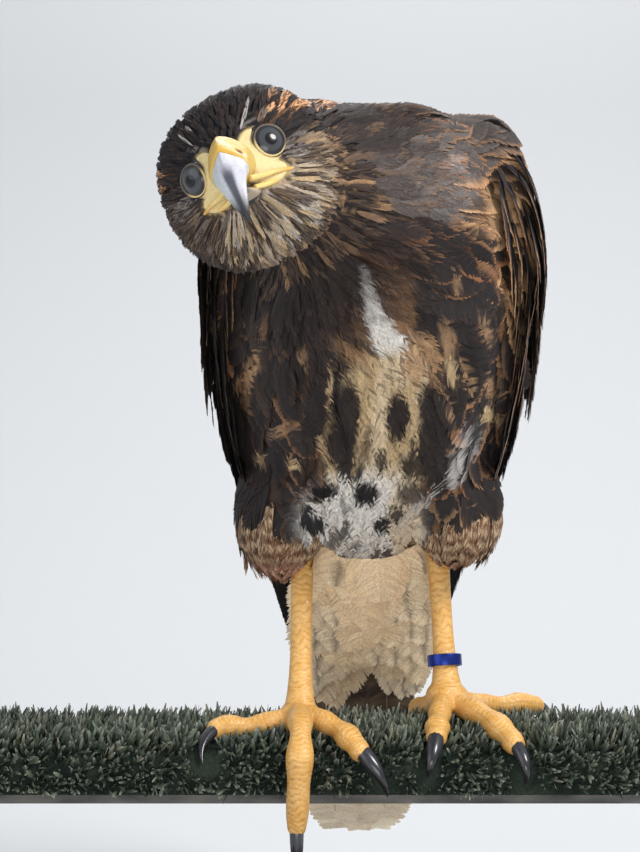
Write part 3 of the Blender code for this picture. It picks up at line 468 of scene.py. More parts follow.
legs = {
    "right": {
        "hip": (hawkX - 0.026, 0.004, soleZ + 0.112),
        "hem": (hawkX - 0.034, 0.016, soleZ + 0.0660),
        "heel": (hawkX - 0.026, 0.026, soleZ + 0.080),
        "foot": (hawkX - 0.0268, -0.004, soleZ + 0.0115),
    },
    "left": {
        "hip": (hawkX + 0.026, 0.004, soleZ + 0.112),
        "hem": (hawkX + 0.034, 0.016, soleZ + 0.0710),
        "heel": (hawkX + 0.028, 0.030, soleZ + 0.084),
        "foot": (hawkX + 0.0316, 0.012, soleZ + 0.0163),
    },
}


def thighPath(name):
    leg = legs[name]
    side = 1 if name == "left" else -1
    hip, hem = np.array(leg["hip"]), np.array(leg["hem"])
    knee = hip * 0.5 + hem * 0.5 + np.array([side * 0.003, -0.008, 0.0])
    return [hip, knee, hem + np.array([0, 0, 0.010]), hem]


def neckPath():
    start = spineAt(np.array(0.010))[0] - np.array([0.002, 0.0, 0.004])
    end = headPoint(np.array([0.0, -0.034, -0.007]))
    bulge, nape = np.array([0.002, -0.004, 0.000]), np.array([0.0012, -0.0024, 0.0025])
    return [start, start * 0.62 + end * 0.38 + bulge, start * 0.28 + end * 0.72 + nape, end]


def wingPadHeight(s):
    places = (-0.016, 0.000, 0.030, 0.070, 0.110, 0.140)
    return np.interp(s, places, (0.0012, 0.0055, 0.0085, 0.0075, 0.0050, 0.0020))


def wingEdges(s):
    upper = np.interp(s, (-0.016, 0.0, 0.03, 0.08, 0.14), (74, 60, 36, 20, 15))
    lower = np.interp(s, (-0.016, 0.0, 0.03, 0.08, 0.14), (84, 100, 107, 111, 113))
    return upper, lower


def wingRise(s, w, least):
    # how far the folded wing stands out, w from its upper edge at -1 to its lower edge at 1
    return least + wingPadHeight(s) * (1 - np.abs(w) ** 2.6) ** 0.7


# skin under the feathers: all parts joined and remeshed into one


def buildSkin():
    coat = body["coat"]
    shapes = []
    s = np.concatenate([np.linspace(-0.022, -0.004, 6), np.linspace(0.002, 0.232, 40)])
    turn = fullTurn(48, 360)
    shapes.append(closedLoft(bodyPoint(body["torso"], s[:, None], turn[None], -coat)))
    f = np.concatenate([np.linspace(-0.058, -0.050, 4), np.linspace(-0.047, 0.0050, 24)])
    inset = np.interp(f, (-0.05, -0.016, -0.002), (coat, 0.0022, 0.0012))
    shapes.append(closedLoft(headSurface(f[:, None], turn[None], inset[:, None])))
    shapes.append(closedLoft(pipe(neckPath(), np.array(body["neckRadii"]) - coat, 40)[0]))
    for name in legs:
        radii = np.array((0.0200, 0.0205, 0.0165, 0.0115)) - coat
        shapes.append(closedLoft(pipe(thighPath(name), radii, 32)[0]))
    for side in (1, -1):
        s = np.concatenate([np.linspace(-0.012, 0.010, 5), np.linspace(0.018, 0.128, 14)])[:, None]
        w = np.linspace(-0.96, 0.96, 17)[None]
        upper, lower = wingEdges(s)
        phi = (upper * (1 - w) + lower * (1 + w)) / 2
        rise = np.maximum(wingRise(s, w, 0.0008) - coat * 0.9, -0.002)
        outer = bodyPoint(body["wing"], s, phi, rise, side)
        inner = bodyPoint(body["wing"], s, phi[:, ::-1], -0.012, side)
        shapes.append(closedLoft(np.concatenate([outer, inner], axis=1)))
    points, _, faces = meltShapes(shapes, 0.0017, 6)
    return points, faces


skinPoints, skinFaces = buildSkin()
skinTree = BVHTree.FromPolygons(skinPoints.tolist(), [q.tolist() for f in skinFaces for q in f])
print("skin draft", len(skinPoints), "points")


# colours, as linear red, green and blue

tone = {
    "black": (0.011, 0.010, 0.012),
    "dark": (0.022, 0.017, 0.017),
    "brown": (0.060, 0.038, 0.028),
    "rufous": (0.230, 0.098, 0.045),
    "buff": (0.420, 0.250, 0.130),
    "cream": (0.640, 0.500, 0.330),
    "white": (0.800, 0.760, 0.700),
    "sandy": (0.560, 0.400, 0.220),
    "ash": (0.100, 0.085, 0.080),
    "rusty": (0.300, 0.165, 0.085),
    "pale": (0.480, 0.450, 0.430),
    "bareSkin": (0.50, 0.38, 0.16),
    "hemDeep": (0.31, 0.150, 0.092),
    "hemPale": (0.60, 0.370, 0.255),
    "tailBand": (0.070, 0.052, 0.045),
    "tailTip": (0.95, 0.80, 0.60),
    "undertail": (0.92, 0.70, 0.44),
    "undertailTip": (0.95, 0.80, 0.58),
    "face": (0.72, 0.57, 0.27),
    "eyeRing": (0.66, 0.52, 0.26),
    "lidPaintedShade": (0.10, 0.075, 0.05),
    "lid": (0.66, 0.50, 0.22),
    "cere": (0.62, 0.39, 0.055),
    "cereOrange": (0.62, 0.34, 0.055),
    "cereRust": (0.20, 0.055, 0.012),
    "cereSide": (0.66, 0.50, 0.17),
    "lip": (0.84, 0.62, 0.22),
    "lipOrange": (0.78, 0.42, 0.10),
    "bill": (0.60, 0.60, 0.66),
    "billGreen": (0.40, 0.46, 0.44),
    "billGrey": (0.026, 0.030, 0.046),
    "billTip": (0.012, 0.012, 0.016),
    "billLower": (0.58, 0.48, 0.36),
    "billLowerTip": (0.08, 0.08, 0.09),
    "iris": (0.052, 0.056, 0.064),
    "irisRim": (0.020, 0.020, 0.022),
    "pupil": (0.004, 0.004, 0.005),
    "leg": (0.74, 0.39, 0.090),
    "legDeep": (0.40, 0.150, 0.026),
    "legBright": (0.84, 0.54, 0.20),
    "sole": (0.62, 0.40, 0.16),
    "claw": (0.030, 0.032, 0.040),
    "clawTip": (0.010, 0.010, 0.012),
    "turf": (0.115, 0.148, 0.096),
    "turfDeep": (0.030, 0.044, 0.033),
    "turfStraw": (0.20, 0.19, 0.13),
    "turfWorn": (0.42, 0.43, 0.37),
}
tone = {key: np.array(value) for key, value in tone.items()}


# feathers

barb = {
    "stations": (0.0, 0.48, 0.76, 0.92),  # where along it a barb has its pairs of points
    "first": 0.03,  # the first barb's place on the shaft
    "span": 0.93,  # the share of the shaft that bears barbs
    "crowding": 0.75,  # below 1 the barbs stand closer towards the tip
    "overlap": 1.45,  # a barb's width over the gap to the next one
    "twist": 0.00007,  # how far a barb's edges are turned up and down
    "stray": 0.00010,  # how far the barbs' tips stray up and down
    "unlike": 0.07,  # how much the barbs differ in brightness
}


def vaneShape(a, root=0.45, full=0.40, round=0.62, point=2.2):
    # share of the half width at a: rises from the root, then rounds off to nothing at the tip
    rise = root + (1 - root) * smoothStep(a, 0.0, full)
    fall = np.clip((a - round) / (1 - round), 0, 1)
    return rise * np.clip(1 - fall**point, 0, 1) ** 0.6


def featherPiece(name, coat, barbs, paint, material, seed, shape=None, sweep=0.26, ragged=0.10, camber=9.0,
                 shaft=None, replaced=(), limit=190000):
    # coat holds arrays: spine and out (feathers, steps, 3), long, half, root (its place in the bake),
    # and what paint reads; a feather has barbs on both sides of its shaft, each of nine points
    rng = np.random.default_rng(seed)
    shape = shape or {}
    total = len(coat["long"])
    if not total:
        return []
    steps = coat["spine"].shape[1]
    # a piece is split where it would pass the limit of triangles, at seven to a barb
    perFeather = barbs * 2 * 7 + ((steps - 1) * 2 if shaft else 0)
    pieces, size = [], max(1, limit // perFeather)
    count = math.ceil(total / size)
    size = math.ceil(total / count)
    for part in range(count):
        pick = slice(part * size, min(total, (part + 1) * size))
        some = {key: value[pick] for key, value in coat.items()}
        amount = len(some["long"])
        spine, out = some["spine"], some["out"]
        along = unit(np.gradient(spine, axis=1))
        side = unit(np.cross(along, out))
        longs = some["long"][:, None, None, None]
        halfs = some["half"][:, None, None, None]
        q = (np.arange(barbs) + 0.5) / barbs
        # half a barb's width is half the way to the next one, times the overlap
        crowding = barb["crowding"]
        width = (0.5 * barb["span"] / barbs * barb["overlap"]) * crowding * q ** (crowding - 1)
        baseA = (barb["first"] + barb["span"] * q**crowding)[None, None, :, None]
        baseA = baseA + np.zeros((amount, 2, 1, 1))
        baseA = baseA + rng.normal(0, 0.10 / barbs, baseA.shape)
        endA = baseA + (1 - baseA) * sweep + 0.012
        reach = vaneShape(endA, **shape) * (1 + rng.normal(0, ragged, baseA.shape))
        # two points at each station and one at the tip
        station = np.concatenate([np.repeat(barb["stations"], 2), [1.0]])
        edgeSign = np.array([-1, 1, -1, 1, -1, 1, -1, 1, 0.0])
        thick = np.array([1.0, 1.0, 1.15, 1.15, 1.05, 1.05, 0.75, 0.75, 0.0]) * width[:, None]
        a = baseA + (endA - baseA) * station**1.4 + edgeSign * thick
        a = np.clip(a, 0.0, 1 + 0.0006 / longs)
        handed = np.array([1.0, -1.0])[None, :, None, None]
        b = handed * reach * station**0.88
        place = np.clip(a, 0, 1) * (steps - 1)
        low = np.clip(place.astype(int), 0, steps - 2)
        share = (place - low)[..., None]
        row = np.arange(amount)[:, None, None, None]

        def onSpine(values):
            return values[row, low] * (1 - share) + values[row, low + 1] * share

        middle, outAt, sideAt = onSpine(spine), onSpine(out), onSpine(side)
        overshoot = np.clip(a - 1, 0, 1)[..., None] * longs[..., None]
        middle = middle + overshoot * along[row, -1]
        wide = b * halfs
        twist = edgeSign * handed * barb["twist"]
        lift = -camber * wide**2 + twist + rng.normal(0, barb["stray"], baseA.shape) * station
        points = middle + sideAt * wide[..., None] + outAt * lift[..., None]
        barbLength = np.sqrt(((endA - baseA) * longs) ** 2 + (reach * halfs) ** 2)
        fromEdge = (1 - station) * barbLength
        waver = rng.normal(0, 1, (3,) + baseA.shape)
        colours = paint(a, b, fromEdge, some, row, points, waver)
        colours = colours * (1 + rng.normal(0, barb["unlike"], baseA.shape))[..., None]
        base = np.arange(amount * 2 * barbs, dtype=np.int64).reshape(amount, 2, barbs) * 9
        quads = [np.stack([base + k, base + k + 2, base + k + 3, base + k + 1], -1) for k in (0, 2, 4)]
        quads = np.stack(quads, 3)
        tris = np.stack([base + 6, base + 8, base + 7], -1)
        quads[:, 1] = quads[:, 1][..., ::-1]
        tris[:, 1] = tris[:, 1][..., ::-1]
        quads, tris = quads.reshape(-1, 4), tris.reshape(-1, 3)
        uvLocal = np.stack([b * 0.5, a - 0.5], -1) * 0.003
        uv = (some["root"][:, None, None, None] + uvLocal).reshape(-1, 2)
        points, colours = points.reshape(-1, 3), colours.reshape(-1, 3)
        if shaft:
            t = np.linspace(0.0, barb["span"], steps)
            thin = (shaft["half"] * (1 - 0.75 * t))[None, :, None]
            up = shaft.get("lift", 0.00018)
            pair = np.stack([spine - side * thin + out * up, spine + side * thin + out * up], 2)
            pair[:, -1] = mix(pair[:, -2], pair[:, -1], 0.3)  # the shaft ends short of the tip
            start = len(points)
            strip = np.arange(amount * steps * 2).reshape(amount, steps, 2) + start
            points = np.concatenate([points, pair.reshape(-1, 3)])
            ink = np.broadcast_to(shaft["colour"], (amount * steps * 2, 3))
            colours = np.concatenate([colours, ink])
            shaftUv = some["root"][:, None, None] + np.zeros((1, steps, 2, 2))
            uv = np.concatenate([uv, shaftUv.reshape(-1, 2)])
            quads = np.concatenate([quads, stripFaces(strip)])
        title = name if count == 1 else f"{name}{part + 1}"
        pieces.append(makePiece(title, points, [quads, tris], material, colours, uv))
    if replaced:
        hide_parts(*replaced)
    return pieces


def thinOut(points, spacing):
    # keeps a point only where no kept one is nearer than its own spacing, which is less than a cell
    cell = 0.0093
    kept, grid = [], {}
    steps = [(i, j, k) for i in (-1, 0, 1) for j in (-1, 0, 1) for k in (-1, 0, 1)]
    keys = np.floor(points / cell).astype(int)
    for number, (x, y, z) in enumerate(keys.tolist()):
        near = [other for i, j, k in steps for other in grid.get((x + i, y + j, z + k), ())]
        if near and np.sum((points[near] - points[number]) ** 2, axis=1).min() < spacing[number] ** 2:
            continue
        kept.append(number)
        grid.setdefault((x, y, z), []).append(number)
    return np.array(kept, int)


def shaftLength(spine):
    return np.linalg.norm(np.diff(spine, axis=1), axis=-1).sum(1)


def layOver(roots, ways, longs, steps, lift, maxTurn, cling, raised):
    # walks each shaft over the skin, turning to follow it by a few degrees a step, then raises it tipwards
    spine = np.empty((len(roots), steps, 3))
    out = np.empty((len(roots), steps, 3))
    limit = math.radians(maxTurn)
    for i in range(len(roots)):
        hit, normal, _, _ = skinTree.find_nearest(roots[i])
        place, normal = Vector(hit), Vector(normal)
        way = Vector(ways[i])
        way = (way - normal * way.dot(normal)).normalized()
        stride = longs[i] / (steps - 1)
        spine[i, 0], out[i, 0] = place, normal
        for k in range(1, steps):
            ahead = place + way * stride
            hit, fresh, _, gap = skinTree.find_nearest(ahead)
            if gap < stride * 1.2:
                goal = hit - place
                if goal.length > stride * 0.3:
                    goal.normalize()
                    angle = way.angle(goal, 0.0)
                    if angle > 1e-4:
                        share = min(1.0, limit / angle) * cling[i]
                        way = way.lerp(goal, share).normalized()
                normal = normal.lerp(fresh, 0.6).normalized()
            place = place + way * stride
            normal = (normal - way * normal.dot(way)).normalized()
            spine[i, k], out[i, k] = place, normal
    t = np.linspace(0, 1, steps)
    rise = lift[0] + (lift[1] - lift[0]) * t**0.8
    spine += out * (rise[None] * raised[:, None])[..., None]
    return spine, out


def bodyPlace(points):
    # s along the spine, phi from the back in degrees, and the distance from the spine
    points = np.asarray(points, float)
    keep = slice(0, None, 4)
    offsetY = points[:, 1, None] - spineY[None, keep]
    offsetZ = points[:, 2, None] - spineZ[None, keep]
    best = np.argmin(offsetY**2 + offsetZ**2, axis=1)
    s = spineS[keep][best]
    middle, outAt, _ = spineAt(s)
    over = np.sum((points - middle) * outAt, axis=1)
    beside = points[:, 0] - hawkX
    return s, np.degrees(np.arctan2(beside, over)), np.hypot(beside, over)


def finePath(path, count=60):
    # even places along a polyline
    path = np.array(path)
    at, knots = np.linspace(0, 1, count), np.linspace(0, 1, len(path))
    return np.stack([np.interp(at, knots, path[:, k]) for k in range(3)], -1)


def segmentShare(points, path):
    # nearest distance to a polyline, and how far along it that is from 0 to 1
    fine = finePath(path)
    gap = np.linalg.norm(points[:, None] - fine[None], axis=-1)
    best = np.argmin(gap, axis=1)
    return gap[np.arange(len(points)), best], best / (len(fine) - 1)


camera = {
    "place": (0.0, -0.682, soleZ + 0.1576),
    "tip": 87.0,  # degrees up from straight down
    "focus": 1750.0,  # in pixels of the photo
    "width": 640,
    "height": 852,
    "sensor": 36,  # its longer side, in millimetres
}
cameraPlace, cameraTip = np.array(camera["place"]), math.radians(camera["tip"])


def frontPixel(points):
    # where a point appears in the photo, in its pixels
    ray = np.asarray(points, float) - cameraPlace
    down = math.pi / 2 - cameraTip
    depth = ray[..., 1] * math.cos(down) - ray[..., 2] * math.sin(down)
    rise = ray[..., 1] * math.sin(down) + ray[..., 2] * math.cos(down)
    return (camera["width"] / 2 + camera["focus"] * ray[..., 0] / depth,
            camera["height"] / 2 - camera["focus"] * rise / depth)


def softSpot(u, v, centre, size, lean=0.0):
    # 1 inside an ellipse in photo pixels, 0 outside, soft at its rim
    angle = math.radians(lean)
    x, y = u - centre[0], v - centre[1]
    along = x * math.cos(angle) + y * math.sin(angle)
    beside = -x * math.sin(angle) + y * math.cos(angle)
    return 1 - smoothStep(np.hypot(along / size[0], beside / size[1]), 0.8, 1.15)


# where the feathers grow on the skin


def skinSamples(amount, rng):
    # even random places on the skin: triangles drawn by their area
    tris = [f[:, [0, 1, 2]] for f in skinFaces] + [f[:, [0, 2, 3]] for f in skinFaces if f.shape[1] == 4]
    corners = skinPoints[np.concatenate(tris)]
    area = np.linalg.norm(np.cross(corners[:, 1] - corners[:, 0], corners[:, 2] - corners[:, 0]), axis=1)
    pick = rng.choice(len(corners), amount, p=area / area.sum())
    r1, r2 = np.sqrt(rng.random(amount))[:, None], rng.random(amount)[:, None]
    c = corners[pick]
    points = c[:, 0] * (1 - r1) + c[:, 1] * r1 * (1 - r2) + c[:, 2] * r1 * r2
    normals = unit(np.cross(c[:, 1] - c[:, 0], c[:, 2] - c[:, 0]))
    return points, normals


def regionsOf(points):
    # which part of the bird each point of the skin belongs to
    place = headPlace(points)
    s, phi, reach = bodyPlace(points)
    inHead = (place[:, 1] > -0.056) & (np.abs(place[:, 0]) < 0.033) & (np.abs(place[:, 2] + 0.0045) < 0.033)
    thigh = np.zeros(len(points), bool)
    share = np.zeros(len(points))
    which = np.zeros(len(points), int)
    for k, name in enumerate(("right", "left")):
        gap, along = segmentShare(points, thighPath(name))
        mine = (gap < 0.021) & (along > 0.30) & (points[:, 2] < soleZ + 0.100)
        thigh |= mine
        share[mine] = along[mine]
        which[mine] = k
    upper, lower = wingEdges(s)
    middle = (upper + lower) / 2
    width = (lower - upper) / 2
    wingAt = (np.abs(phi) - middle) / width
    onWing = (s > -0.012) & (s < 0.135) & (np.abs(wingAt) < 0.97) & ~inHead & ~thigh
    onWing &= reach > np.interp(s, (-0.012, 0.0, 0.03, 0.12), (0.036, 0.038, 0.046, 0.046))
    return {"place": place, "s": s, "phi": phi, "head": inHead & ~thigh, "thigh": thigh, "which": which,
            "share": share, "wing": onWing, "wingAt": wingAt}


def wingBakePlace(sign, share, s):
    # a wing's own corner of the bake's square, share from the wing's upper edge to its lower one
    return 0.02 + 0.30 * (sign < 0) + 0.28 * share, 0.62 + 0.34 * (s + 0.02) / 0.16


def bakePlace(points, region):
    # each part's own unwrap in its own corner of the square
    uv = np.empty((len(points), 2))
    uv[:, 0] = 0.02 + 0.50 * (region["phi"] + 180) / 360
    uv[:, 1] = 0.02 + 0.56 * (region["s"] + 0.06) / 0.32
    place = region["place"]
    around = np.arctan2(place[:, 0], place[:, 2] + 0.007)
    inHead = region["head"]
    uv[inHead, 0] = 0.56 + 0.42 * (around[inHead] + math.pi) / (2 * math.pi)
    uv[inHead, 1] = 0.02 + 0.36 * (place[inHead, 1] + 0.062) / 0.075
    for k, name in enumerate(("right", "left")):
        mine = region["thigh"] & (region["which"] == k)
        hip = np.array(legs[name]["hip"])
        turn = np.arctan2(points[:, 1] - hip[1], points[:, 0] - hip[0])
        uv[mine, 0] = 0.56 + 0.21 * k + 0.19 * (turn[mine] + math.pi) / (2 * math.pi)
        uv[mine, 1] = 0.42 + 0.16 * (1 - region["share"][mine])
    for sign in (1, -1):
        mine = region["wing"] & (np.sign(region["phi"]) == sign)
        uv[mine, 0], uv[mine, 1] = wingBakePlace(sign, (region["wingAt"][mine] + 1) / 2, region["s"][mine])
    return uv


billPoint = headPoint(np.array([0.0, 0.012, -0.005]))
headMiddle = headPoint(np.array([0.0, -0.020, -0.006]))


def lieOf(points, region):
    # away from the bill on the head and round it, tailwards on the body, down the thighs
    s = region["s"]
    _, _, tailward = spineAt(s)
    outFromBill = unit(points - billPoint)
    outFromHead = unit(points - headMiddle)
    gap = np.linalg.norm(points - headMiddle, axis=1)
    near = smoothStep(gap, 0.030, 0.050)[:, None]
    far = smoothStep(gap, 0.060, 0.125)[:, None]
    way = mix(outFromBill, outFromHead, near)
    way = unit(mix(way, tailward, far))
    down = np.array([0.0, 0.10, -1.0])
    way[region["thigh"]] = unit(down)
    return way


def faceBare(place):
    # the bare yellow skin between the cere and each eye, 1 inside it
    r, f, u = np.abs(place[:, 0]), place[:, 1], place[:, 2]
    side = 1 - smoothStep(np.hypot((r - 0.0088) / 0.0058, (u + 0.0016) / 0.0100), 0.75, 1.1)
    belowLip = u + 0.0098 - 0.12 * (r - 0.010)
    strip = 1 - smoothStep(np.hypot((r - 0.0102) / 0.0058, belowLip / 0.0040), 0.75, 1.15)
    return np.maximum(side, strip) * smoothStep(f, -0.010, -0.007)


def eyeGap(place):
    # distance from the nearer eye's middle
    centre = np.array([*head["eye"], 0.0])
    return np.linalg.norm(np.column_stack([np.abs(place[:, 0]), place[:, 1], place[:, 2]]) - centre, axis=1)


# markings seen from the front, in photo pixels: middle, half width, half height, lean in degrees,
# colour, and the share of it that is laid on
grounds = (
    (330, 250, 50, 60, -20, "brown", 0.5),
    (352, 262, 22, 52, -38, "rusty", 0.60),
    (388, 262, 14, 38, -40, "rusty", 0.88),
    (330, 300, 20, 62, -26, "brown", 0.8),
    (350, 322, 22, 50, -32, "rusty", 0.55),
    (398, 300, 16, 40, -14, "rusty", 0.85),
    (366, 352, 40, 16, 22, "buff", 0.80),
    (384, 392, 42, 40, 0, "sandy", 0.90),
    (404, 366, 22, 22, 0, "cream", 0.80),
    (428, 362, 26, 28, -24, "buff", 0.80),
    (385, 445, 66, 46, 0, "sandy", 0.85),
    (318, 420, 16, 70, 0, "brown", 0.6),
    (380, 420, 9, 60, 4, "cream", 0.85),
    (420, 410, 7, 40, 8, "cream", 0.70),
    (370, 480, 48, 20, 0, "cream", 0.75),
    (362, 520, 68, 48, 0, "white", 0.95),
    (406, 520, 20, 40, 0, "cream", 0.80),
)
marks = (
    # a faint pale greying of the left shoulder: painted sheen
    (445, 190, 34, 34, -20, "pale", 0.14),
    (500, 212, 13, 26, 8, "buff", 0.80),
    (342, 333, 6, 22, -50, "dark", 0.95),
    (362, 345, 5, 20, -58, "dark", 0.95),
    (330, 318, 7, 26, -36, "dark", 0.90),
    (312, 350, 14, 34, -16, "dark", 0.90),
    (346, 300, 4, 20, -30, "dark", 0.80),
    (368, 268, 4, 22, -34, "dark", 0.85),
    (344, 244, 5, 24, -44, "dark", 0.75),
    (366, 282, 5, 16, -14, "white", 0.60),
    (371, 300, 9, 18, -20, "white", 0.80),
    (378, 322, 12, 22, -26, "white", 0.97),
    (385, 340, 15, 15, -30, "white", 0.97),
    (400, 346, 9, 9, 0, "white", 0.60),
    (347, 418, 14, 36, 4, "dark", 0.97),
    (341, 446, 16, 22, 0, "dark", 0.97),
    (350, 472, 14, 11, 0, "black", 0.95),
    (315, 410, 12, 34, 0, "dark", 0.90),
    (330, 388, 2.2, 26, 2, "sandy", 0.75),
    (324, 452, 2.4, 20, -22, "sandy", 0.70),
    (333, 478, 2.2, 12, -24, "cream", 0.70),
    (358, 462, 2.0, 20, 20, "sandy", 0.60),
    (346, 352, 10, 4, 24, "rusty", 0.70),
    (398, 418, 12, 25, 3, "dark", 0.98),
    (436, 414, 17, 30, -18, "dark", 0.97),
    (430, 444, 20, 24, 0, "dark", 0.97),
    (414, 466, 17, 14, 0, "dark", 0.92),
    (447, 404, 2.0, 20, -22, "buff", 0.70),
    (458, 440, 1.8, 20, 24, "pale", 0.50),
    (415, 424, 2.6, 30, -4, "sandy", 0.80),
    (405, 458, 2.0, 14, 30, "cream", 0.50),
    (381, 462, 6, 12, 0, "dark", 0.85),
    (366, 448, 6, 24, 10, "dark", 0.60),
    (440, 474, 18, 17, 45, "dark", 0.95),
    (324, 492, 15, 9.5, -10, "black", 0.99),
    (366, 494, 13.5, 13.5, 0, "black", 0.99),
    (410, 496, 14, 13, 0, "dark", 0.85),
    (306, 519, 6, 14, 4, "black", 0.98),
    (315, 526, 10, 12, 20, "black", 0.98),
    (382, 526, 9, 9.5, 0, "black", 0.98),
    (396, 515, 8, 8, 45, "dark", 0.92),
    (345, 505, 5, 9, -20, "ash", 0.60),
    (333, 542, 7, 13, 20, "ash", 0.85),
    (345, 531, 4.5, 12, 6, "dark", 0.85),
    (356, 547, 3.5, 11, 50, "ash", 0.80),
    (375, 557, 5.5, 9, 20, "brown", 0.90),
    (387, 558, 6, 12, 8, "brown", 0.95),
    (341, 560, 6, 7, 0, "brown", 0.80),
    (458, 470, 9, 20, 20, "pale", 0.85),
    (470, 446, 9, 22, 24, "pale", 0.60),
    (475, 437, 5, 12, 16, "black", 0.95),
    (466, 461, 4, 14, 12, "dark", 0.90),
    (421, 504, 2.0, 44, 45, "pale", 0.85),
    (366, 548, 2.2, 26, 58, "pale", 0.75),
    (488, 416, 5, 9, -10, "sandy", 0.90),
    (501, 423, 6, 5, 0, "sandy", 0.70),
    (510, 392, 4, 9, 0, "buff", 0.75),
    (491, 388, 6, 10, -14, "buff", 0.70),
    (468, 378, 4, 20, -24, "buff", 0.70),
    (452, 372, 5, 16, -10, "sandy", 0.75),
    (487, 330, 5, 15, -22, "buff", 0.60),
    (457, 285, 4, 10, 0, "buff", 0.55),
    (522, 345, 4, 22, 4, "buff", 0.60),
    (448, 340, 8, 18, -8, "buff", 0.60),
    (279, 433, 11, 4, 0, "buff", 0.60),
    (292, 428, 9, 5, 0, "rusty", 0.45),
    (260, 460, 5, 5, 0, "sandy", 0.80),
    (294, 465, 6, 4.5, 0, "sandy", 0.80),
    (252, 366, 6, 14, 24, "buff", 0.75),
    (243, 385, 8, 8, 0, "buff", 0.65),
    (304, 357, 5, 8, 0, "buff", 0.60),
    (264, 330, 4, 12, 4, "rusty", 0.70),
    (215, 322, 4, 12, 8, "buff", 0.60),
    (232, 284, 4, 12, 24, "rusty", 0.70),
    (246, 402, 5, 12, 0, "rusty", 0.50),
    (383, 104, 12, 2.6, 8, "rusty", 0.80),
    (374, 128, 13, 3.0, -20, "buff", 0.70),
    (372, 172, 16, 3.6, -12, "rusty", 0.80),
    (375, 197, 20, 2.4, 10, "buff", 0.75),
    (431, 184, 21, 3.2, 20, "buff", 0.60),
    (473, 142, 10, 2.6, 30, "rusty", 0.70),
    (484, 192, 15, 2.6, 45, "buff", 0.80),
    (498, 218, 3, 20, -25, "buff", 0.80),
    (511, 196, 3, 26, -20, "buff", 0.85),
    (462, 226, 15, 4.0, 30, "rusty", 0.85),
    (403, 217, 18, 2.6, 35, "rusty", 0.60),
    (418, 206, 14, 2.2, 28, "buff", 0.50),
    # a grey patch on the mantle: painted sheen
    (445, 124, 20, 11, 20, "ash", 0.45),
    (455, 160, 7, 4, 10, "pale", 0.55),
    (398, 140, 14, 9, 0, "dark", 0.60),
    (410, 240, 26, 9, 40, "dark", 0.70),
    (462, 252, 16, 18, 0, "dark", 0.85),
)


def frontColour(colour, points, rows, waver, front):
    # lays each soft ellipse over the colours; every barb reads it a little off its place,
    # so that the borders are hairy
    u, v = frontPixel(points)
    u, v = u + 1.3 * waver[0], v + 3.2 * waver[1]
    for centreU, centreV, wide, deep, lean, key, share in rows:
        reach = max(wide, deep) * 1.35
        near = (np.abs(u - centreU) < reach) & (np.abs(v - centreV) < reach)
        if not near.any():
            continue
        spot = softSpot(u[near], v[near], (centreU, centreV), (wide, deep), lean)
        colour[near] = mix(colour[near], tone[key], (spot * share * front[near])[:, None])
    return colour


def softZone(u, v):
    # the belly and the breast from the front, where the feathers are small and loose
    spots = (softSpot(u, v, (380, 400), (66, 176)), softSpot(u, v, (362, 515), (76, 60)),
             softSpot(u, v, (326, 300), (58, 78)))
    return np.max(spots, axis=0)


def hipGap(points):
    return np.minimum(*[np.linalg.norm(points - np.array(legs[name]["hip"]), axis=1) for name in legs])


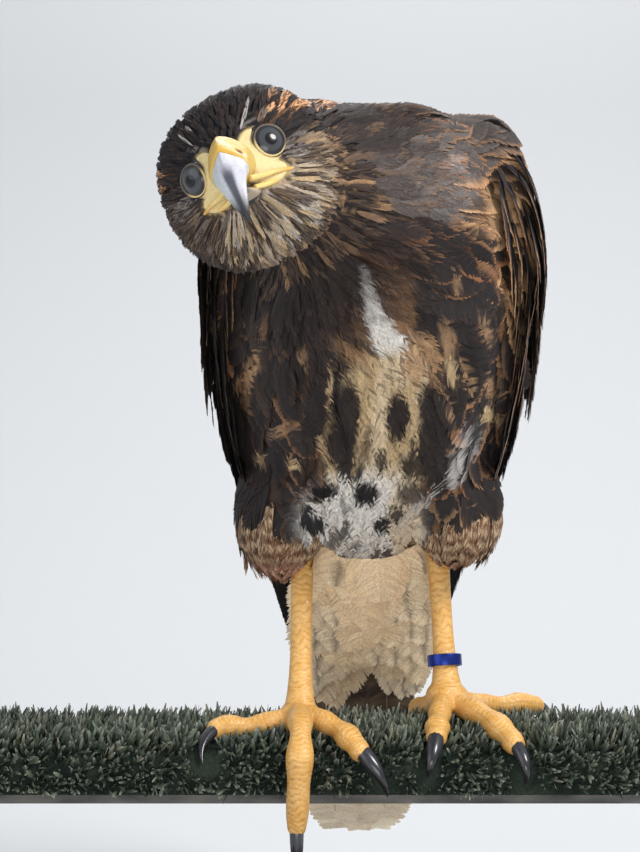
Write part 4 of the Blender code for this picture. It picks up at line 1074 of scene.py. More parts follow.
def coatLooks(points, region, rng):
    # length, half width, edge width and the two colours of every feather by its place
    count = len(points)
    u, v = frontPixel(points + lieOf(points, region) * 0.016)
    s, phi, place = region["s"], np.abs(region["phi"]), region["place"]
    front = smoothStep(phi, 60, 85) * (points[:, 1] < 0.06)
    luck = rng.random((count, 4))
    looks = {
        "long": np.full(count, 0.034),
        "half": np.full(count, 0.0080),
        "rim": 0.0009 + 0.0009 * luck[:, 0],
        "core": np.tile(tone["dark"], (count, 1)) * (0.7 + 0.7 * luck[:, 1:2]),
        "edge": mix(tone["rufous"], tone["buff"], luck[:, 2:3] * 0.8) * 0.75,
        "soft": np.zeros(count),
        "hair": np.zeros(count),
        "uneven": 2.4 * luck[:, 3] - 1.2,
        "rise": np.ones(count),
    }

    def blend(share, **goals):
        for key, goal in goals.items():
            w = share[:, None] if looks[key].ndim == 2 else share
            looks[key] = mix(looks[key], goal, w)

    # front of the body, each zone as centre, size and lean in photo pixels
    def zone(centre, size, lean=0.0, **goals):
        blend(softSpot(u, v, centre, size, lean) * front, **goals)

    few = luck[:, 0:1]
    rust = mix(tone["rufous"], tone["buff"], 0.5 * luck[:, 2:3])
    plain = tone["brown"] * 0.8
    zone((250, 350), (70, 190), edge=mix(plain, rust * 0.7, few > 0.84), rim=0.0016)
    zone((470, 330), (62, 110), edge=mix(plain, rust * 1.1, few > 0.66), rim=0.0011,
         half=0.0096, long=0.042)
    zone((430, 180), (120, 66), 14, edge=mix(plain, rust * 1.15, few > 0.56), rim=0.0011,
         half=0.0060, long=0.031)
    # a grey patch over the left shoulder: painted sheen, the light's grey reflection on the dark feathers
    # given as their colour
    zone((462, 170), (70, 56), edge=mix(tone["ash"], rust * 1.6, few > 0.50),
         core=tone["ash"] * (0.65 + 0.65 * few))
    zone((506, 225), (44, 110), edge=mix(rust * 1.2, tone["buff"] * 1.35, few > 0.25), rim=0.0024,
         half=0.0060, long=0.038, core=tone["brown"] * (0.5 + 0.6 * few))
    zone((352, 262), (60, 44), 34, edge=rust * 1.3, rim=0.0016, half=0.0040, long=0.026)
    soft = softZone(u, v) * front
    blend(soft, half=0.0030, long=0.0215, soft=1.0)
    low = softSpot(u, v, (362, 548), (70, 26)) * front
    blend(low, long=0.0225)
    looks["cling"] = 0.8 - 0.65 * low
    near = smoothStep(hipGap(points), 0.036, 0.026) * (points[:, 2] > soleZ + 0.080)
    blend(near * (1 - soft), half=0.0042, long=0.0230, edge=plain, rim=0.0006)
    # vent and rump: cream
    vent = smoothStep(s, 0.150, 0.175) * smoothStep(phi, 95, 120)
    blend(vent, edge=tone["white"] * 0.95, core=tone["cream"] * 1.1, rim=0.002, long=0.028)
    rump = smoothStep(s, 0.150, 0.185) * (1 - smoothStep(phi, 60, 90))
    blend(rump, edge=tone["cream"], rim=0.0018)
    # neck and head
    gap = np.linalg.norm(points - headMiddle, axis=1)
    nearHead = 1 - smoothStep(gap, 0.036, 0.066)
    blend(nearHead, long=0.0200, half=0.0023, rim=0.0004, soft=0.0,
          edge=mix(plain, rust * 0.7, (few > 0.86) * 0.8))
    blend(1 - smoothStep(gap, 0.034, 0.050), hair=0.45)
    inHead = region["head"].astype(float)
    r, f, w = place[:, 0], place[:, 1], place[:, 2]
    gapToBill = np.linalg.norm(points - billPoint, axis=1)
    small = 0.0044 + 0.0085 * smoothStep(gapToBill, 0.010, 0.050)
    blend(inHead, long=small, half=small * 0.085 + 0.0003, core=tone["black"] * 1.1, hair=1.0,
          edge=mix(tone["black"] * 1.2, tone["brown"], 0.30 + 0.3 * luck[:, 2:3]))
    back = inHead * smoothStep(-f, 0.024, 0.040) * smoothStep(w, -0.002, 0.010)
    blend(back, long=0.0150, half=0.0016, rise=2.6)
    # below the eyes: pale hairs by the bill, buff ones further out, fewer towards the face's dark rim
    below = inHead * smoothStep(-w, -0.001, 0.006)
    away = smoothStep(gapToBill, 0.021, 0.034)[:, None]
    rimOfFace = smoothStep(gapToBill, 0.030, 0.045)
    pale = mix(tone["sandy"] * 0.95, tone["pale"] * 0.85, luck[:, 0:1])
    warm = mix(tone["brown"] * 1.7, tone["buff"] * 0.80, luck[:, 1:2])
    light = mix(pale, warm, away)
    # fewer pale hairs on the bird's right side of the face: painted shade on the side away from the key
    # light
    shadedFaceSide = smoothStep(-r, 0.004, 0.014)
    chosen = (luck[:, 2] < 0.60 - 0.46 * rimOfFace - 0.60 * shadedFaceSide)[:, None] * 1.0
    dim = mix(tone["brown"] * 0.9, tone["dark"] * 1.1, np.maximum(away, rimOfFace[:, None]))
    blend(below, core=mix(dim, light, chosen * 0.8), edge=mix(light, dim, (1 - chosen) * 0.75),
          half=0.00085 + 0.00035 * rimOfFace, long=0.0088 + 0.0040 * smoothStep(gapToBill, 0.014, 0.034))
    hang = inHead * smoothStep(f, -0.020, -0.008) * smoothStep(-w, 0.008, 0.014)
    blend(hang, long=0.0125, half=0.0008)
    # a greyish patch under each eye, rufous streaks over and behind it, and pale bristles
    # between the bill and the brow
    under = inHead * (1 - smoothStep(eyeGap(place), 0.0075, 0.0105)) * smoothStep(-w, 0.001, 0.005)
    under = under * smoothStep(np.abs(r), 0.012, 0.015)
    blend(under, core=tone["dark"], edge=tone["ash"] * 1.8, long=0.0060)
    band = inHead * np.maximum(
        softSpot(r * 1000, w * 1000 - f * 150, (23, 10.5), (10.5, 4.6), 8) * smoothStep(r, 0.010, 0.014),
        softSpot(r * 1000, w * 1000, (-23, 6), (4, 4)) * 0.6)
    blend(band * (luck[:, 0] < 0.75), core=tone["rufous"] * 0.5, edge=tone["rusty"] * 2.2)
    lore = inHead * smoothStep(f, -0.012, -0.006) * smoothStep(w, 0.001, 0.004)
    lore = lore * (1 - smoothStep(w, 0.009, 0.013))
    lore = lore * (1 - smoothStep(np.abs(np.abs(r) - 0.0085), 0.002, 0.0042))
    blend(lore * (luck[:, 1] < 0.34), core=tone["ash"] * 2.0, edge=tone["pale"])
    blend(lore, long=0.0080, half=0.00042, rise=1.8)
    # thighs are dark above and barred below
    hem = soleZ + np.where(region["which"] == 0, 0.0600, 0.0655)
    reach = np.clip(points[:, 2] - hem, 0.0120, 0.0200)
    blend(region["thigh"].astype(float), long=reach, half=0.0024, soft=0.0)
    blend(region["wing"].astype(float) * (1 - nearHead), long=0.033, half=0.0094)
    looks["front"] = front * (1 - nearHead * 0.7) * (1 - inHead)
    looks["long"] = looks["long"] * (0.9 + 0.22 * luck[:, 3])
    looks["half"] = looks["half"] * (0.9 + 0.2 * luck[:, 1])
    return looks


def paintContour(a, b, fromEdge, some, row, points, waver):
    # dark middle inside an edge band, or plain streaks in a soft zone, then the front's markings
    rim, core, edge = some["rim"][row], some["core"][row], some["edge"][row]
    onesided = 1 + 0.7 * np.tanh(b * 4) * np.clip(some["uneven"][row], -1, 1)
    inside = smoothStep(fromEdge * (onesided + 0.05 * waver[2]), rim * 0.55, rim * 1.45)
    inside = np.maximum(inside, some["soft"][row])
    picked = smoothStep(waver[2] + 0 * a, 0.45, -0.75)
    inside = mix(inside, picked, some["hair"][row])
    colour = mix(edge, core, inside[..., None])
    colour = mix(colour, colour * 0.6, (np.exp(-(b / 0.05) ** 2) * 0.3 * (1 - some["soft"][row]))[..., None])
    front = some["front"][row] + 0 * a
    if not front.any():
        return colour
    soft = some["soft"][row] + 0 * a
    colour = frontColour(colour, points, grounds, waver, front * soft)
    streak = smoothStep(waver[2] + 0 * a, 0.5, 1.4) * soft
    colour = mix(colour, colour * 0.30, (streak * 0.75)[..., None])
    return frontColour(colour, points, marks, waver, front)


def paintThigh(a, b, fromEdge, some, row, points, waver):
    # rows of cream bars on rufous, read from the height so that they line up, dark above them
    # and pinkish at the hem
    height = points[..., 2] - soleZ + 0.0006 * waver[0]
    around = np.sin(points[..., 0] * 640 + 1.3) + np.sin(points[..., 1] * 520 + points[..., 0] * 300)
    wave = np.sin((height + 0.0005 * around) / 0.0053 * 2 * math.pi) + 0.25 * waver[2]
    browner = smoothStep(waver[1] + 0 * a, -0.6, 1.2)[..., None] * 0.7
    rufous = mix(tone["rufous"] * 0.60, tone["brown"] * 0.9, browner)
    bars = smoothStep(wave, 0.10, 0.60) * smoothStep(height, 0.066, 0.072) * 0.9
    colour = mix(rufous, mix(tone["cream"], tone["buff"], 0.35), bars[..., None])
    hem = 1 - smoothStep(height, 0.064, 0.070)
    pinkish = mix(tone["hemDeep"], tone["hemPale"], smoothStep(waver[2] + 0 * a, -1, 1)[..., None])
    colour = mix(colour, pinkish, (hem * 0.85)[..., None])
    high = smoothStep(height - some["top"][row], -0.0015, 0.0025)
    colour = mix(colour, tone["dark"] * 1.1, high[..., None])
    front = (points[..., 1] < 0.03).astype(float)
    return frontColour(colour, points, marks, waver, front * high)


# the least way between two feathers in each place, in metres; the gains are added far from the head
# or the bill
growth = {
    "tries": 90000,
    "neck": 0.0021,
    "bodyGain": 0.0064,
    "head": 0.00165,
    "headGain": 0.0009,
    "chin": 0.00105,
    "thigh": 0.0027,
    "hip": 0.0046,
    "soft": 0.0037,
    "wing": 0.0080,
}
coatRng = np.random.default_rng(20)
samples, sampleNormals = skinSamples(growth["tries"], coatRng)
regions = regionsOf(samples)
place, onHead, onThigh = regions["place"], regions["head"], regions["thigh"]
gapToHead = np.linalg.norm(samples - headMiddle, axis=1)
gapToBill = np.linalg.norm(samples - billPoint, axis=1)
spacing = growth["neck"] + growth["bodyGain"] * smoothStep(gapToHead, 0.036, 0.104)
spacing[onHead] = growth["head"] + growth["headGain"] * smoothStep(gapToBill[onHead], 0.012, 0.045)
spacing[onHead & (place[:, 1] > -0.016) & (place[:, 2] < -0.004)] = growth["chin"]
spacing[onThigh] = growth["thigh"]
spacing[(hipGap(samples) < 0.036) & ~onThigh] = growth["hip"]
softHere = softZone(*frontPixel(samples + [0, 0, -0.014])) > 0.4
softHere &= (samples[:, 1] < 0.03) & ~onHead & ~onThigh & (gapToHead > 0.040)
spacing[softHere] = np.minimum(spacing[softHere], growth["soft"])
spacing[regions["wing"]] = np.maximum(spacing[regions["wing"]], growth["wing"])
# no feathers on the face's bare skin, the eyes, the root of the bill and the root of the tail
bare = onHead & ((faceBare(place) > 0.35) | (eyeGap(place) < 0.0058))
bare |= onHead & (place[:, 1] > 0.001) & (np.abs(place[:, 0]) < 0.0088) & (place[:, 2] > -0.0130)
bare |= (regions["s"] > 0.215) & ~onThigh
grown = np.flatnonzero(~bare)
kept = grown[thinOut(samples[grown], spacing[grown])]
roots, rootNormals = samples[kept], sampleNormals[kept]
rootRegion = regionsOf(roots)
looks = coatLooks(roots, rootRegion, coatRng)
looks["root"] = bakePlace(roots, rootRegion)
looks["luck"] = coatRng.random(len(roots))
outside = np.clip(roots[:, 0] - hawkX - 0.026, 0, 0.03)
looks["top"] = np.where(rootRegion["which"] == 0, 0.0945, 0.0925 + 0.30 * outside)  # of the thighs' bars
ways = lieOf(roots, rootRegion)
ways = across(ways + coatRng.normal(0, 0.07, ways.shape), rootNormals)
print("coat roots", len(roots))

coatMaterial = paintedMaterial("plumage feathers", 0.66, speckle=0.22, scale=1500, sheen=0.03, specular=0.20)
downMaterial = paintedMaterial("skin under the feathers", 0.8, speckle=0.2, scale=700, specular=0.2)


def coatPart(name, pick, barbs, paint, lift, steps=6, maxTurn=16, **more):
    index = np.flatnonzero(pick)
    spine, out = layOver(roots[index], ways[index], looks["long"][index], steps, lift, maxTurn,
                         looks["cling"][index], looks["rise"][index])
    coat = {key: value[index] for key, value in looks.items()}
    turn = np.random.default_rng(len(index)).normal(0, 0.10, len(index))[:, None, None]
    side = np.cross(unit(np.gradient(spine, axis=1)), out)
    coat["spine"], coat["out"] = spine, unit(out + side * turn)
    return featherPiece(name, coat, barbs, paint, coatMaterial, 7, **more)


looks["cling"][rootRegion["thigh"]] = 0.45
isHead, isThigh = rootRegion["head"], rootRegion["thigh"]
isSoft = ~isHead & ~isThigh & (looks["half"] < 0.0052)
isBody = ~isHead & ~isThigh & ~isSoft
coatPart("head_feathers", isHead, 5, paintContour, (0.0001, 0.0011), steps=4, camber=20.0, ragged=0.25,
         sweep=0.6)
coatPart("body_feathers", isBody, 26, paintContour, (0.0003, 0.0030), steps=8, maxTurn=20, sweep=0.34,
         ragged=0.035)
coatPart("breast_feathers", isSoft, 12, paintContour, (0.0002, 0.0026), sweep=0.55, ragged=0.16, camber=16.0)
coatPart("thigh_feathers", isThigh, 9, paintThigh, (0.0002, 0.0022), ragged=0.18, sweep=0.55, camber=16.0)
print("coat laid")

skinRegion = regionsOf(skinPoints)
skinLooks = coatLooks(skinPoints, skinRegion, np.random.default_rng(4))
skinShade = mix(skinLooks["core"], skinLooks["edge"], 0.15)
still = np.zeros((2, len(skinPoints)))
skinShade = frontColour(skinShade, skinPoints, grounds + marks, still, skinLooks["front"])
bareSkin = (smoothStep(faceBare(skinRegion["place"]), 0.6, 0.95) * skinRegion["head"])[:, None]
skinShade = mix(skinShade, tone["bareSkin"], bareSkin)
# the skin is painted at 0.8 of the feathers' colours: painted shade where it shows in the gaps between
# feathers
makePiece("skin", skinPoints, skinFaces, downMaterial, skinShade * 0.8,
          replaced=("torso", "neck", "head", "thigh_left", "thigh_right"))
print("skin made")


# wings: tiers of long feathers laid over the folded wing, each tier's inner feathers over its outer ones


def layOnWing(s, phi, height, tilt, side):
    # spine and outward direction of feathers whose shafts are given by s, phi and height (feathers, steps)
    spine = bodyPoint(body["wing"], s, phi, height, side)
    out = unit(bodyPoint(body["wing"], s, phi, height + 0.001, side) - spine)
    along = unit(np.gradient(spine, axis=1))
    over = unit(np.cross(along, out))
    down = bodyPoint(body["wing"], s, phi + 1.0, height, side) - spine
    sign = np.sign(np.sum(over * down, axis=-1, keepdims=True))
    return spine, unit(out - over * sign * tilt)


# s and phi of the roots and of the tips, at the upper and at the lower end of each tier; heights over
# the body in mm at root, middle and tip; edge is how bright the rim is, spots the share of pale spots
tiers = (
    {"name": "primaries", "count": 10, "half": 0.0098, "barbs": 40, "power": 1.25,
     "rootS": (0.112, 0.085), "rootPhi": (50, 104), "tipS": (0.314, 0.224), "tipPhi": (20, 92),
     "heights": (0.2, 0.6, 0.4), "rim": 0.0002, "edge": 0.12, "spots": 0},
    {"name": "secondaries", "count": 11, "half": 0.0115, "barbs": 32, "power": 1.0,
     "rootS": (0.095, 0.072), "rootPhi": (24, 102), "tipS": (0.230, 0.180), "tipPhi": (17, 110),
     "heights": (1.6, 3.6, 3.2), "rim": 0.0008, "edge": 0.2, "spots": 0.35},
    {"name": "greater_coverts", "count": 12, "half": 0.0094, "barbs": 22, "power": 1.0,
     "rootS": (0.062, 0.050), "rootPhi": (27, 102), "tipS": (0.156, 0.142), "tipPhi": (15, 108),
     "heights": (3.2, 6.8, 6.2), "rim": 0.0012, "edge": 0.9, "spots": 0.45},
    {"name": "median_coverts", "count": 12, "half": 0.0092, "barbs": 18, "power": 1.0,
     "rootS": (0.030, 0.026), "rootPhi": (42, 99), "tipS": (0.112, 0.105), "tipPhi": (22, 106),
     "heights": (5.0, 9.6, 8.9), "rim": 0.0014, "edge": 0.95, "spots": 0.3},
    {"name": "upper_coverts", "count": 11, "half": 0.0086, "barbs": 14, "power": 1.0,
     "rootS": (0.008, 0.004), "rootPhi": (62, 94), "tipS": (0.070, 0.066), "tipPhi": (32, 104),
     "heights": (5.6, 10.6, 10.4), "rim": 0.0015, "edge": 0.95, "spots": 0.2},
    # rows of small feathers over the folded wing's front edge, each row further down the wing
    {"name": "marginal_coverts", "count": 42, "half": 0.0050, "barbs": 14, "power": 1.0,
     "rootS": (-0.006, -0.006), "rootPhi": (86, 106), "tipS": (0.028, 0.028), "tipPhi": (86, 109),
     "heights": (8.4, 10.6, 11.4), "rim": 0.0017, "edge": 1.15, "spots": 0, "rows": 7, "step": 0.0140},
)


def paintFlight(a, b, fromEdge, some, row, points, waver):
    # near black with faint paler bars on the hidden part, and a thin buff edge
    rim = some["rim"][row]
    waver = 1 + 0.2 * np.sin(a * 47 + row * 1.9)
    inside = smoothStep(fromEdge, rim * 0.6 * waver, rim * 1.3 * waver)
    bars = smoothStep(np.sin(a * some["long"][row] / 0.0085 * math.pi * 2 + row), 0.2, 0.8)
    core = mix(some["core"][row], some["core"][row] * 1.7, (bars * 0.6)[..., None])
    colour = mix(some["edge"][row], core, inside[..., None])
    spot = some["spot"][row] * np.exp(-((a - 0.90) / 0.05) ** 2 - ((b - some["spotB"][row]) / 0.30) ** 2)
    return mix(colour, tone["sandy"] * 1.1, np.clip(spot, 0, 1)[..., None])


for side, name in ((1, "left"), (-1, "right")):
    for order, tier in enumerate(tiers):
        rng = np.random.default_rng(100 + order * 2 + (side > 0))
        count = tier["count"]
        rows = tier.get("rows", 1)
        x = np.tile(np.linspace(0, 1, count // rows), rows)
        down = np.repeat(np.arange(rows), count // rows) * tier.get("step", 0.0)
        t = np.linspace(0, 1, 9)[None]
        rootS = np.interp(x, (0, 1), tier["rootS"]) + rng.normal(0, 0.0012, count) + down
        tipS = tier["tipS"][0] + (tier["tipS"][1] - tier["tipS"][0]) * x ** tier["power"] + down
        tipS = tipS + rng.normal(0, 0.002, count)
        rootPhi = np.interp(x, (0, 1), tier["rootPhi"])
        tipPhi = np.interp(x, (0, 1), tier["tipPhi"]) + rng.normal(0, 1.0, count)
        s = rootS[:, None] + (tipS - rootS)[:, None] * t
        phi = rootPhi[:, None] + (tipPhi - rootPhi)[:, None] * t
        low, mid, high = tier["heights"]
        height = np.interp(t, (0, 0.45, 1), (low, mid, high)) / 1000 + rng.normal(0, 0.00012, (count, 1))
        upper, lower = wingEdges(s)
        w = np.clip((phi - upper) / (lower - upper) * 2 - 1, -1, 1)
        rise = wingRise(s, w, 0.0012)
        inner = smoothStep(1 - np.abs(w), 0.0, 0.45)
        height = mix(np.minimum(height, rise), height, inner)
        spine, out = layOnWing(s, phi, height, 0.10 if order else 0.05, side)
        light = rng.random((count, 1))
        flight = order < 2  # the long feathers, which carry a stiff shaft
        # flight feathers a little darker than coverts; the left wing is painted 2.3 times as bright: painted
        # light on the side the key light falls on
        toneAndPaintedLight = (0.9 if flight else 1.1) * (2.3 if side > 0 else 1)
        coat = {
            "spine": spine,
            "out": out,
            "long": shaftLength(spine),
            "half": np.full(count, tier["half"]) * rng.uniform(0.94, 1.06, count),
            "root": np.column_stack(wingBakePlace(side, x, rootS)),
            "rim": np.full(count, tier["rim"]) * rng.uniform(0.7, 1.4, count),
            "core": mix(tone["black"], tone["dark"], light) * toneAndPaintedLight,
            "edge": mix(tone["rufous"], tone["buff"], rng.random((count, 1))) * tier["edge"],
            "spot": (rng.random(count) < tier["spots"]).astype(float),
            "spotB": rng.choice([-0.55, 0.55], count),
        }
        outline = {"root": 0.6, "full": 0.3, "round": 0.66, "point": 2.4}
        if order == 0:
            outline = {"root": 0.5, "full": 0.3, "round": 0.72, "point": 1.8}
        shaft = {"half": 0.0005 if flight else 0.0003, "colour": tone["black"]}
        featherPiece(f"{tier['name']}_{name}", coat, tier["barbs"], paintFlight, coatMaterial, 30 + order,
                     shape=outline, sweep=0.16 if flight else 0.24, ragged=0.03 if flight else 0.06,
                     camber=6.0, shaft=shaft, replaced=(f"wing_{name}",) if order == 0 else ())
print("wings laid")


# tail: twelve long feathers with a dark barred vane and a cream tip, under tiers of coverts


def tailOut(spine, sign):
    s, _, _ = bodyPlace(spine.reshape(-1, 3))
    _, out, _ = spineAt(s)
    return out.reshape(spine.shape) * sign


def paintTail(a, b, fromEdge, some, row, points, waver):
    # buff-cream base with dark bars, a broad dark band, then a cream tip
    reach = a + 0.02 * np.sin(b * 5 + row)
    bars = smoothStep(np.sin(a * 2 * math.pi * 11.5 + 0.9 * np.abs(b) + row * 0.2), -0.15, 0.35)
    base = mix(tone["sandy"] * 0.62, tone["brown"] * 0.75, bars[..., None])
    band = smoothStep(reach, 0.20, 0.40)
    colour = mix(base, tone["tailBand"], (band * (0.55 + 0.40 * bars))[..., None])
    tip = smoothStep(reach, 0.865, 0.885)
    colour = mix(colour, tone["tailTip"], tip[..., None])
    return mix(colour, tone["brown"] * 1.2, (np.exp(-(b / 0.035) ** 2) * 0.6 * (1 - tip))[..., None])


def paintUnderCovert(a, b, fromEdge, some, row, points, waver):
    # cream, whiter towards the tip, with a thin dark shaft
    colour = mix(tone["undertail"], tone["undertailTip"], (a * some["luck"][row])[..., None])
    colour = colour * (1 - 0.10 * smoothStep(waver[2] + 0 * a, 0.6, 1.6))[..., None]
    dark = np.exp(-(b / 0.035) ** 2) * smoothStep(a, 0.3, 0.5) * (some["luck"][row] > 0.6) * 0.6
    return mix(colour, tone["brown"], dark[..., None])


# where the tail feathers begin and end along s, how much shorter the outer ones are, half widths
tail = {"root": 0.190, "tip": 0.3905, "shorter": 0.0012, "middle": 0.0140, "outer": 0.0130}
tailRng = np.random.default_rng(61)
pairs = np.repeat(np.arange(6), 2)
sides = np.tile([1, -1], 6)
t = np.linspace(0, 1, 12)[None]
layer = 0.0034 - 0.00095 * (2 * pairs + (sides < 0))
s = tail["root"] + (tail["tip"] - tail["shorter"] * pairs[:, None] ** 2 - tail["root"]) * t
s = s + tailRng.normal(0, 0.0006, (12, 1)) * t
middleX = sides[:, None] * (0.0026 + 0.0019 * pairs[:, None]) * (0.60 + 0.60 * t)
spine = tailPoint(s, middleX, layer[:, None] + 0 * t)
rectrices = {
    "spine": spine,
    "out": unit(tailOut(spine, -1) + np.array([0.05, 0, 0]) * sides[:, None, None]),
    "long": shaftLength(spine),
    "half": np.where(pairs == 0, tail["middle"], tail["outer"]),
    "root": np.column_stack([0.56 + 0.02 * np.arange(12), np.full(12, 0.66)]),
}
featherPiece("tail_feathers", rectrices, 60, paintTail, coatMaterial, 71, sweep=0.10, ragged=0.02,
             camber=4.0, shape={"root": 0.45, "full": 0.35, "round": 0.93, "point": 2.6},
             shaft={"half": 0.0003, "colour": tone["sandy"] * 0.7, "lift": 0.0002}, replaced=("tail",))


def tailCoverts(name, rows, paint, sign, seed, barbs=36):
    # each row: count, root s, tip s, sideways reach, half width, height at root and tip, in metres
    rng = np.random.default_rng(seed)
    parts = []
    for count, rootS, tipS, reach, half, rootH, tipH in rows:
        u = np.linspace(-1, 1, count) + rng.normal(0, 0.25 / count, count)
        t = np.linspace(0, 1, 7)[None]
        # the lowest undertail coverts are shorter near the middle
        notch = 0.030 * np.exp(-((u[:, None] - 0.12) / 0.42) ** 2) * (sign < 0)
        notch = notch * smoothStep(tipS, 0.235, 0.28)
        s = rootS + (tipS - 0.010 * u[:, None] ** 2 - notch + rng.normal(0, 0.0025, (count, 1)) - rootS) * t
        x = u[:, None] * reach * (0.75 + 0.3 * t)
        curl = 1 - 0.55 * (x / 0.034) ** 2
        lift = (rootH + (tipH - rootH) * t) * curl + rng.normal(0, 0.0002, (count, 1))
        spine = tailPoint(s, x, lift)
        sideways = np.zeros_like(spine)
        sideways[..., 0] = 0.7 * x / 0.034
        parts.append({
            "spine": spine,
            "out": unit(tailOut(spine, sign) + sideways),
            "long": shaftLength(spine),
            "half": np.full(count, half) * rng.uniform(0.9, 1.1, count),
            "root": np.column_stack([0.60 + 0.15 * (u + 1), np.full(count, 0.72 + (rootS - 0.19) * 2)]),
            "luck": rng.random(count),
            "rim": np.full(count, 0.0010),
            "core": np.tile(tone["dark"], (count, 1)),
            "edge": np.tile(tone["cream"] * 0.9, (count, 1)),
            **{key: np.zeros(count) for key in ("soft", "front", "hair", "uneven")},
        })
    coat = {key: np.concatenate([part[key] for part in parts]) for key in parts[0]}
    featherPiece(name, coat, barbs, paint, coatMaterial, seed, sweep=0.42, ragged=0.05, camber=3.0,
                 shape={"root": 0.5, "full": 0.35, "round": 0.62, "point": 2.0})


tailCoverts("undertail_coverts", (
    (9, 0.196, 0.284, 0.0235, 0.0096, -0.0110, -0.0140),
    (9, 0.195, 0.272, 0.0255, 0.0096, -0.0130, -0.0164),
    (9, 0.193, 0.260, 0.0265, 0.0096, -0.0150, -0.0190),
    (9, 0.190, 0.247, 0.0265, 0.0096, -0.0172, -0.0216),
    (9, 0.186, 0.233, 0.0260, 0.0096, -0.0194, -0.0240),
    (9, 0.178, 0.217, 0.0250, 0.0092, -0.0216, -0.0262),
    (9, 0.168, 0.202, 0.0235, 0.0088, -0.0240, -0.0284),
), paintUnderCovert, -1, 81)
tailCoverts("uppertail_coverts", (
    (6, 0.196, 0.268, 0.0160, 0.0080, 0.0062, 0.0058),
    (7, 0.194, 0.248, 0.0175, 0.0080, 0.0082, 0.0082),
    (7, 0.188, 0.228, 0.0185, 0.0080, 0.0105, 0.0110),
), paintContour, 1, 83)
print("tail laid")


# face: bare skin, lids, cere with nostrils and mouth corners, bill and eyes

face = {
    "eyeRadius": 0.0082,
    "splay": 32.0,
    "lidRadius": 0.0054,
    "lidDepth": 0.0019,
    "upper": (  # f and u of the bill's top line and of its lower line, half width
        (0.0030, 0.0068, 0.0010, -0.0088, 0.0076),
        (0.0085, 0.0068, 0.0072, -0.0096, 0.0079),
        (0.0146, 0.0048, 0.0126, -0.0100, 0.0076),
        (0.0192, 0.0012, 0.0166, -0.0102, 0.0070),
        (0.0236, -0.0034, 0.0208, -0.0108, 0.0060),
        (0.0270, -0.0088, 0.0243, -0.0126, 0.0047),
        (0.0291, -0.0142, 0.0268, -0.0160, 0.0033),
        (0.0299, -0.0190, 0.0282, -0.0198, 0.0018),
        (0.0295, -0.0230, 0.0292, -0.0231, 0.0004),
    ),
    "cereRows": 4,
    "lower": (
        (0.0010, -0.0104, 0.0010, -0.0150, 0.0056),
        (0.0085, -0.0106, 0.0080, -0.0146, 0.0052),
        (0.0145, -0.0109, 0.0140, -0.0139, 0.0043),
        (0.0190, -0.0115, 0.0186, -0.0133, 0.0029),
        (0.0222, -0.0123, 0.0220, -0.0129, 0.0010),
    ),
    "nostril": (0.0150, -0.0010),  # f and u
    "gapeCorner": (0.0152, -0.0035, -0.0105),
}


def eyeAxis(side):
    splay = math.radians(face["splay"])
    return unit(np.array([side * math.sin(splay), math.cos(splay), 0.05]))


def eyeFrame(side):
    # out of the eye, across it and up, and the cornea's middle
    axis = eyeAxis(side)
    over = unit(np.array([axis[1], -axis[0], 0.0]))
    return axis, over, np.cross(over, axis), np.array([side * head["eye"][0], head["eye"][1], 0.0])


def billRings(rows, count, sides, ridge=1.9, grow=0.0, first=0.0, last=1.0):
    # profile points top(t) and low(t), ring width = half * |sin|^(2/ridge) * (1 - narrow(t) height^2)
    table = np.column_stack([np.linspace(0, 1, len(rows)), np.array(rows)])
    t = np.linspace(first, last, count)
    topF, topU, lowF, lowU, half = np.moveaxis(curveThrough(table, t), -1, 0)
    angle = fullTurn(sides)
    height = (1 + np.cos(angle)) / 2
    narrow = np.interp(t, (0.0, 0.22, 0.36, 0.50, 1.0), (0.35, 0.42, 0.78, 0.74, 0.62))[:, None]
    width = np.abs(np.sin(angle)) ** (2 / ridge) * (1 - narrow * height**2) * np.sign(np.sin(angle))
    r = (half + grow)[:, None] * width
    f = lowF[:, None] + (topF - lowF)[:, None] * height[None]
    u = (lowU - grow)[:, None] + (topU - lowU + 2 * grow)[:, None] * height[None]
    return np.stack([r, f, u], -1), t, angle


def buildFaceSkin():
    rows, sides = 96, 192
    f = np.linspace(-0.0125, 0.0058, rows)
    turn = fullTurn(sides, 360)
    outer, inner = (headPlace(headSurface(f[:, None], turn[None], inset).reshape(-1, 3))
                    for inset in (0.0004, 0.0026))
    # the skin lies higher where it is bare, and round the eyes
    bare = np.maximum(faceBare(outer), 1 - smoothStep(eyeGap(outer), 0.0062, 0.0080))
    rings = mix(inner, outer, bare[:, None]).reshape(rows, sides, 3)
    # fine wrinkles round the eye and along the lores: a few soft waves, none deeper than 0.1 mm
    axis = rings - np.array([0, -0.015, -0.007])
    out = unit(axis)
    gap = eyeGap(rings.reshape(-1, 3)).reshape(rows, sides)
    wave = np.sin(gap * 5200) * np.exp(-((gap - 0.0072) / 0.0016) ** 2) * 0.00010
    wave += np.sin(rings[..., 2] * 3600 + rings[..., 1] * 2400) * 0.00004
    rings = rings + out * wave[..., None]
    bareHere = faceBare(rings.reshape(-1, 3)).reshape(rows, sides, 1)
    colour = mix(tone["dark"] * 1.2, tone["face"], bareHere)
    # the ring of skin round each eye is yellow below and darkened to 0.15 above: painted shade under the
    # brow
    ring = (1 - smoothStep(gap, 0.0060, 0.0074))[..., None]
    under = smoothStep(-rings[..., 2:3], -0.003, 0.002)
    colour = mix(colour, tone["eyeRing"] * (0.15 + 0.85 * under), ring * 0.8)
    points, faces = closedLoft(headPoint(rings))
    made = paintedMaterial("face skin", 0.5, speckle=0.12, scale=1800, bump=0.35, bumpScale=2600)
    makePiece("face_skin", points, faces, made, loftColours(colour))


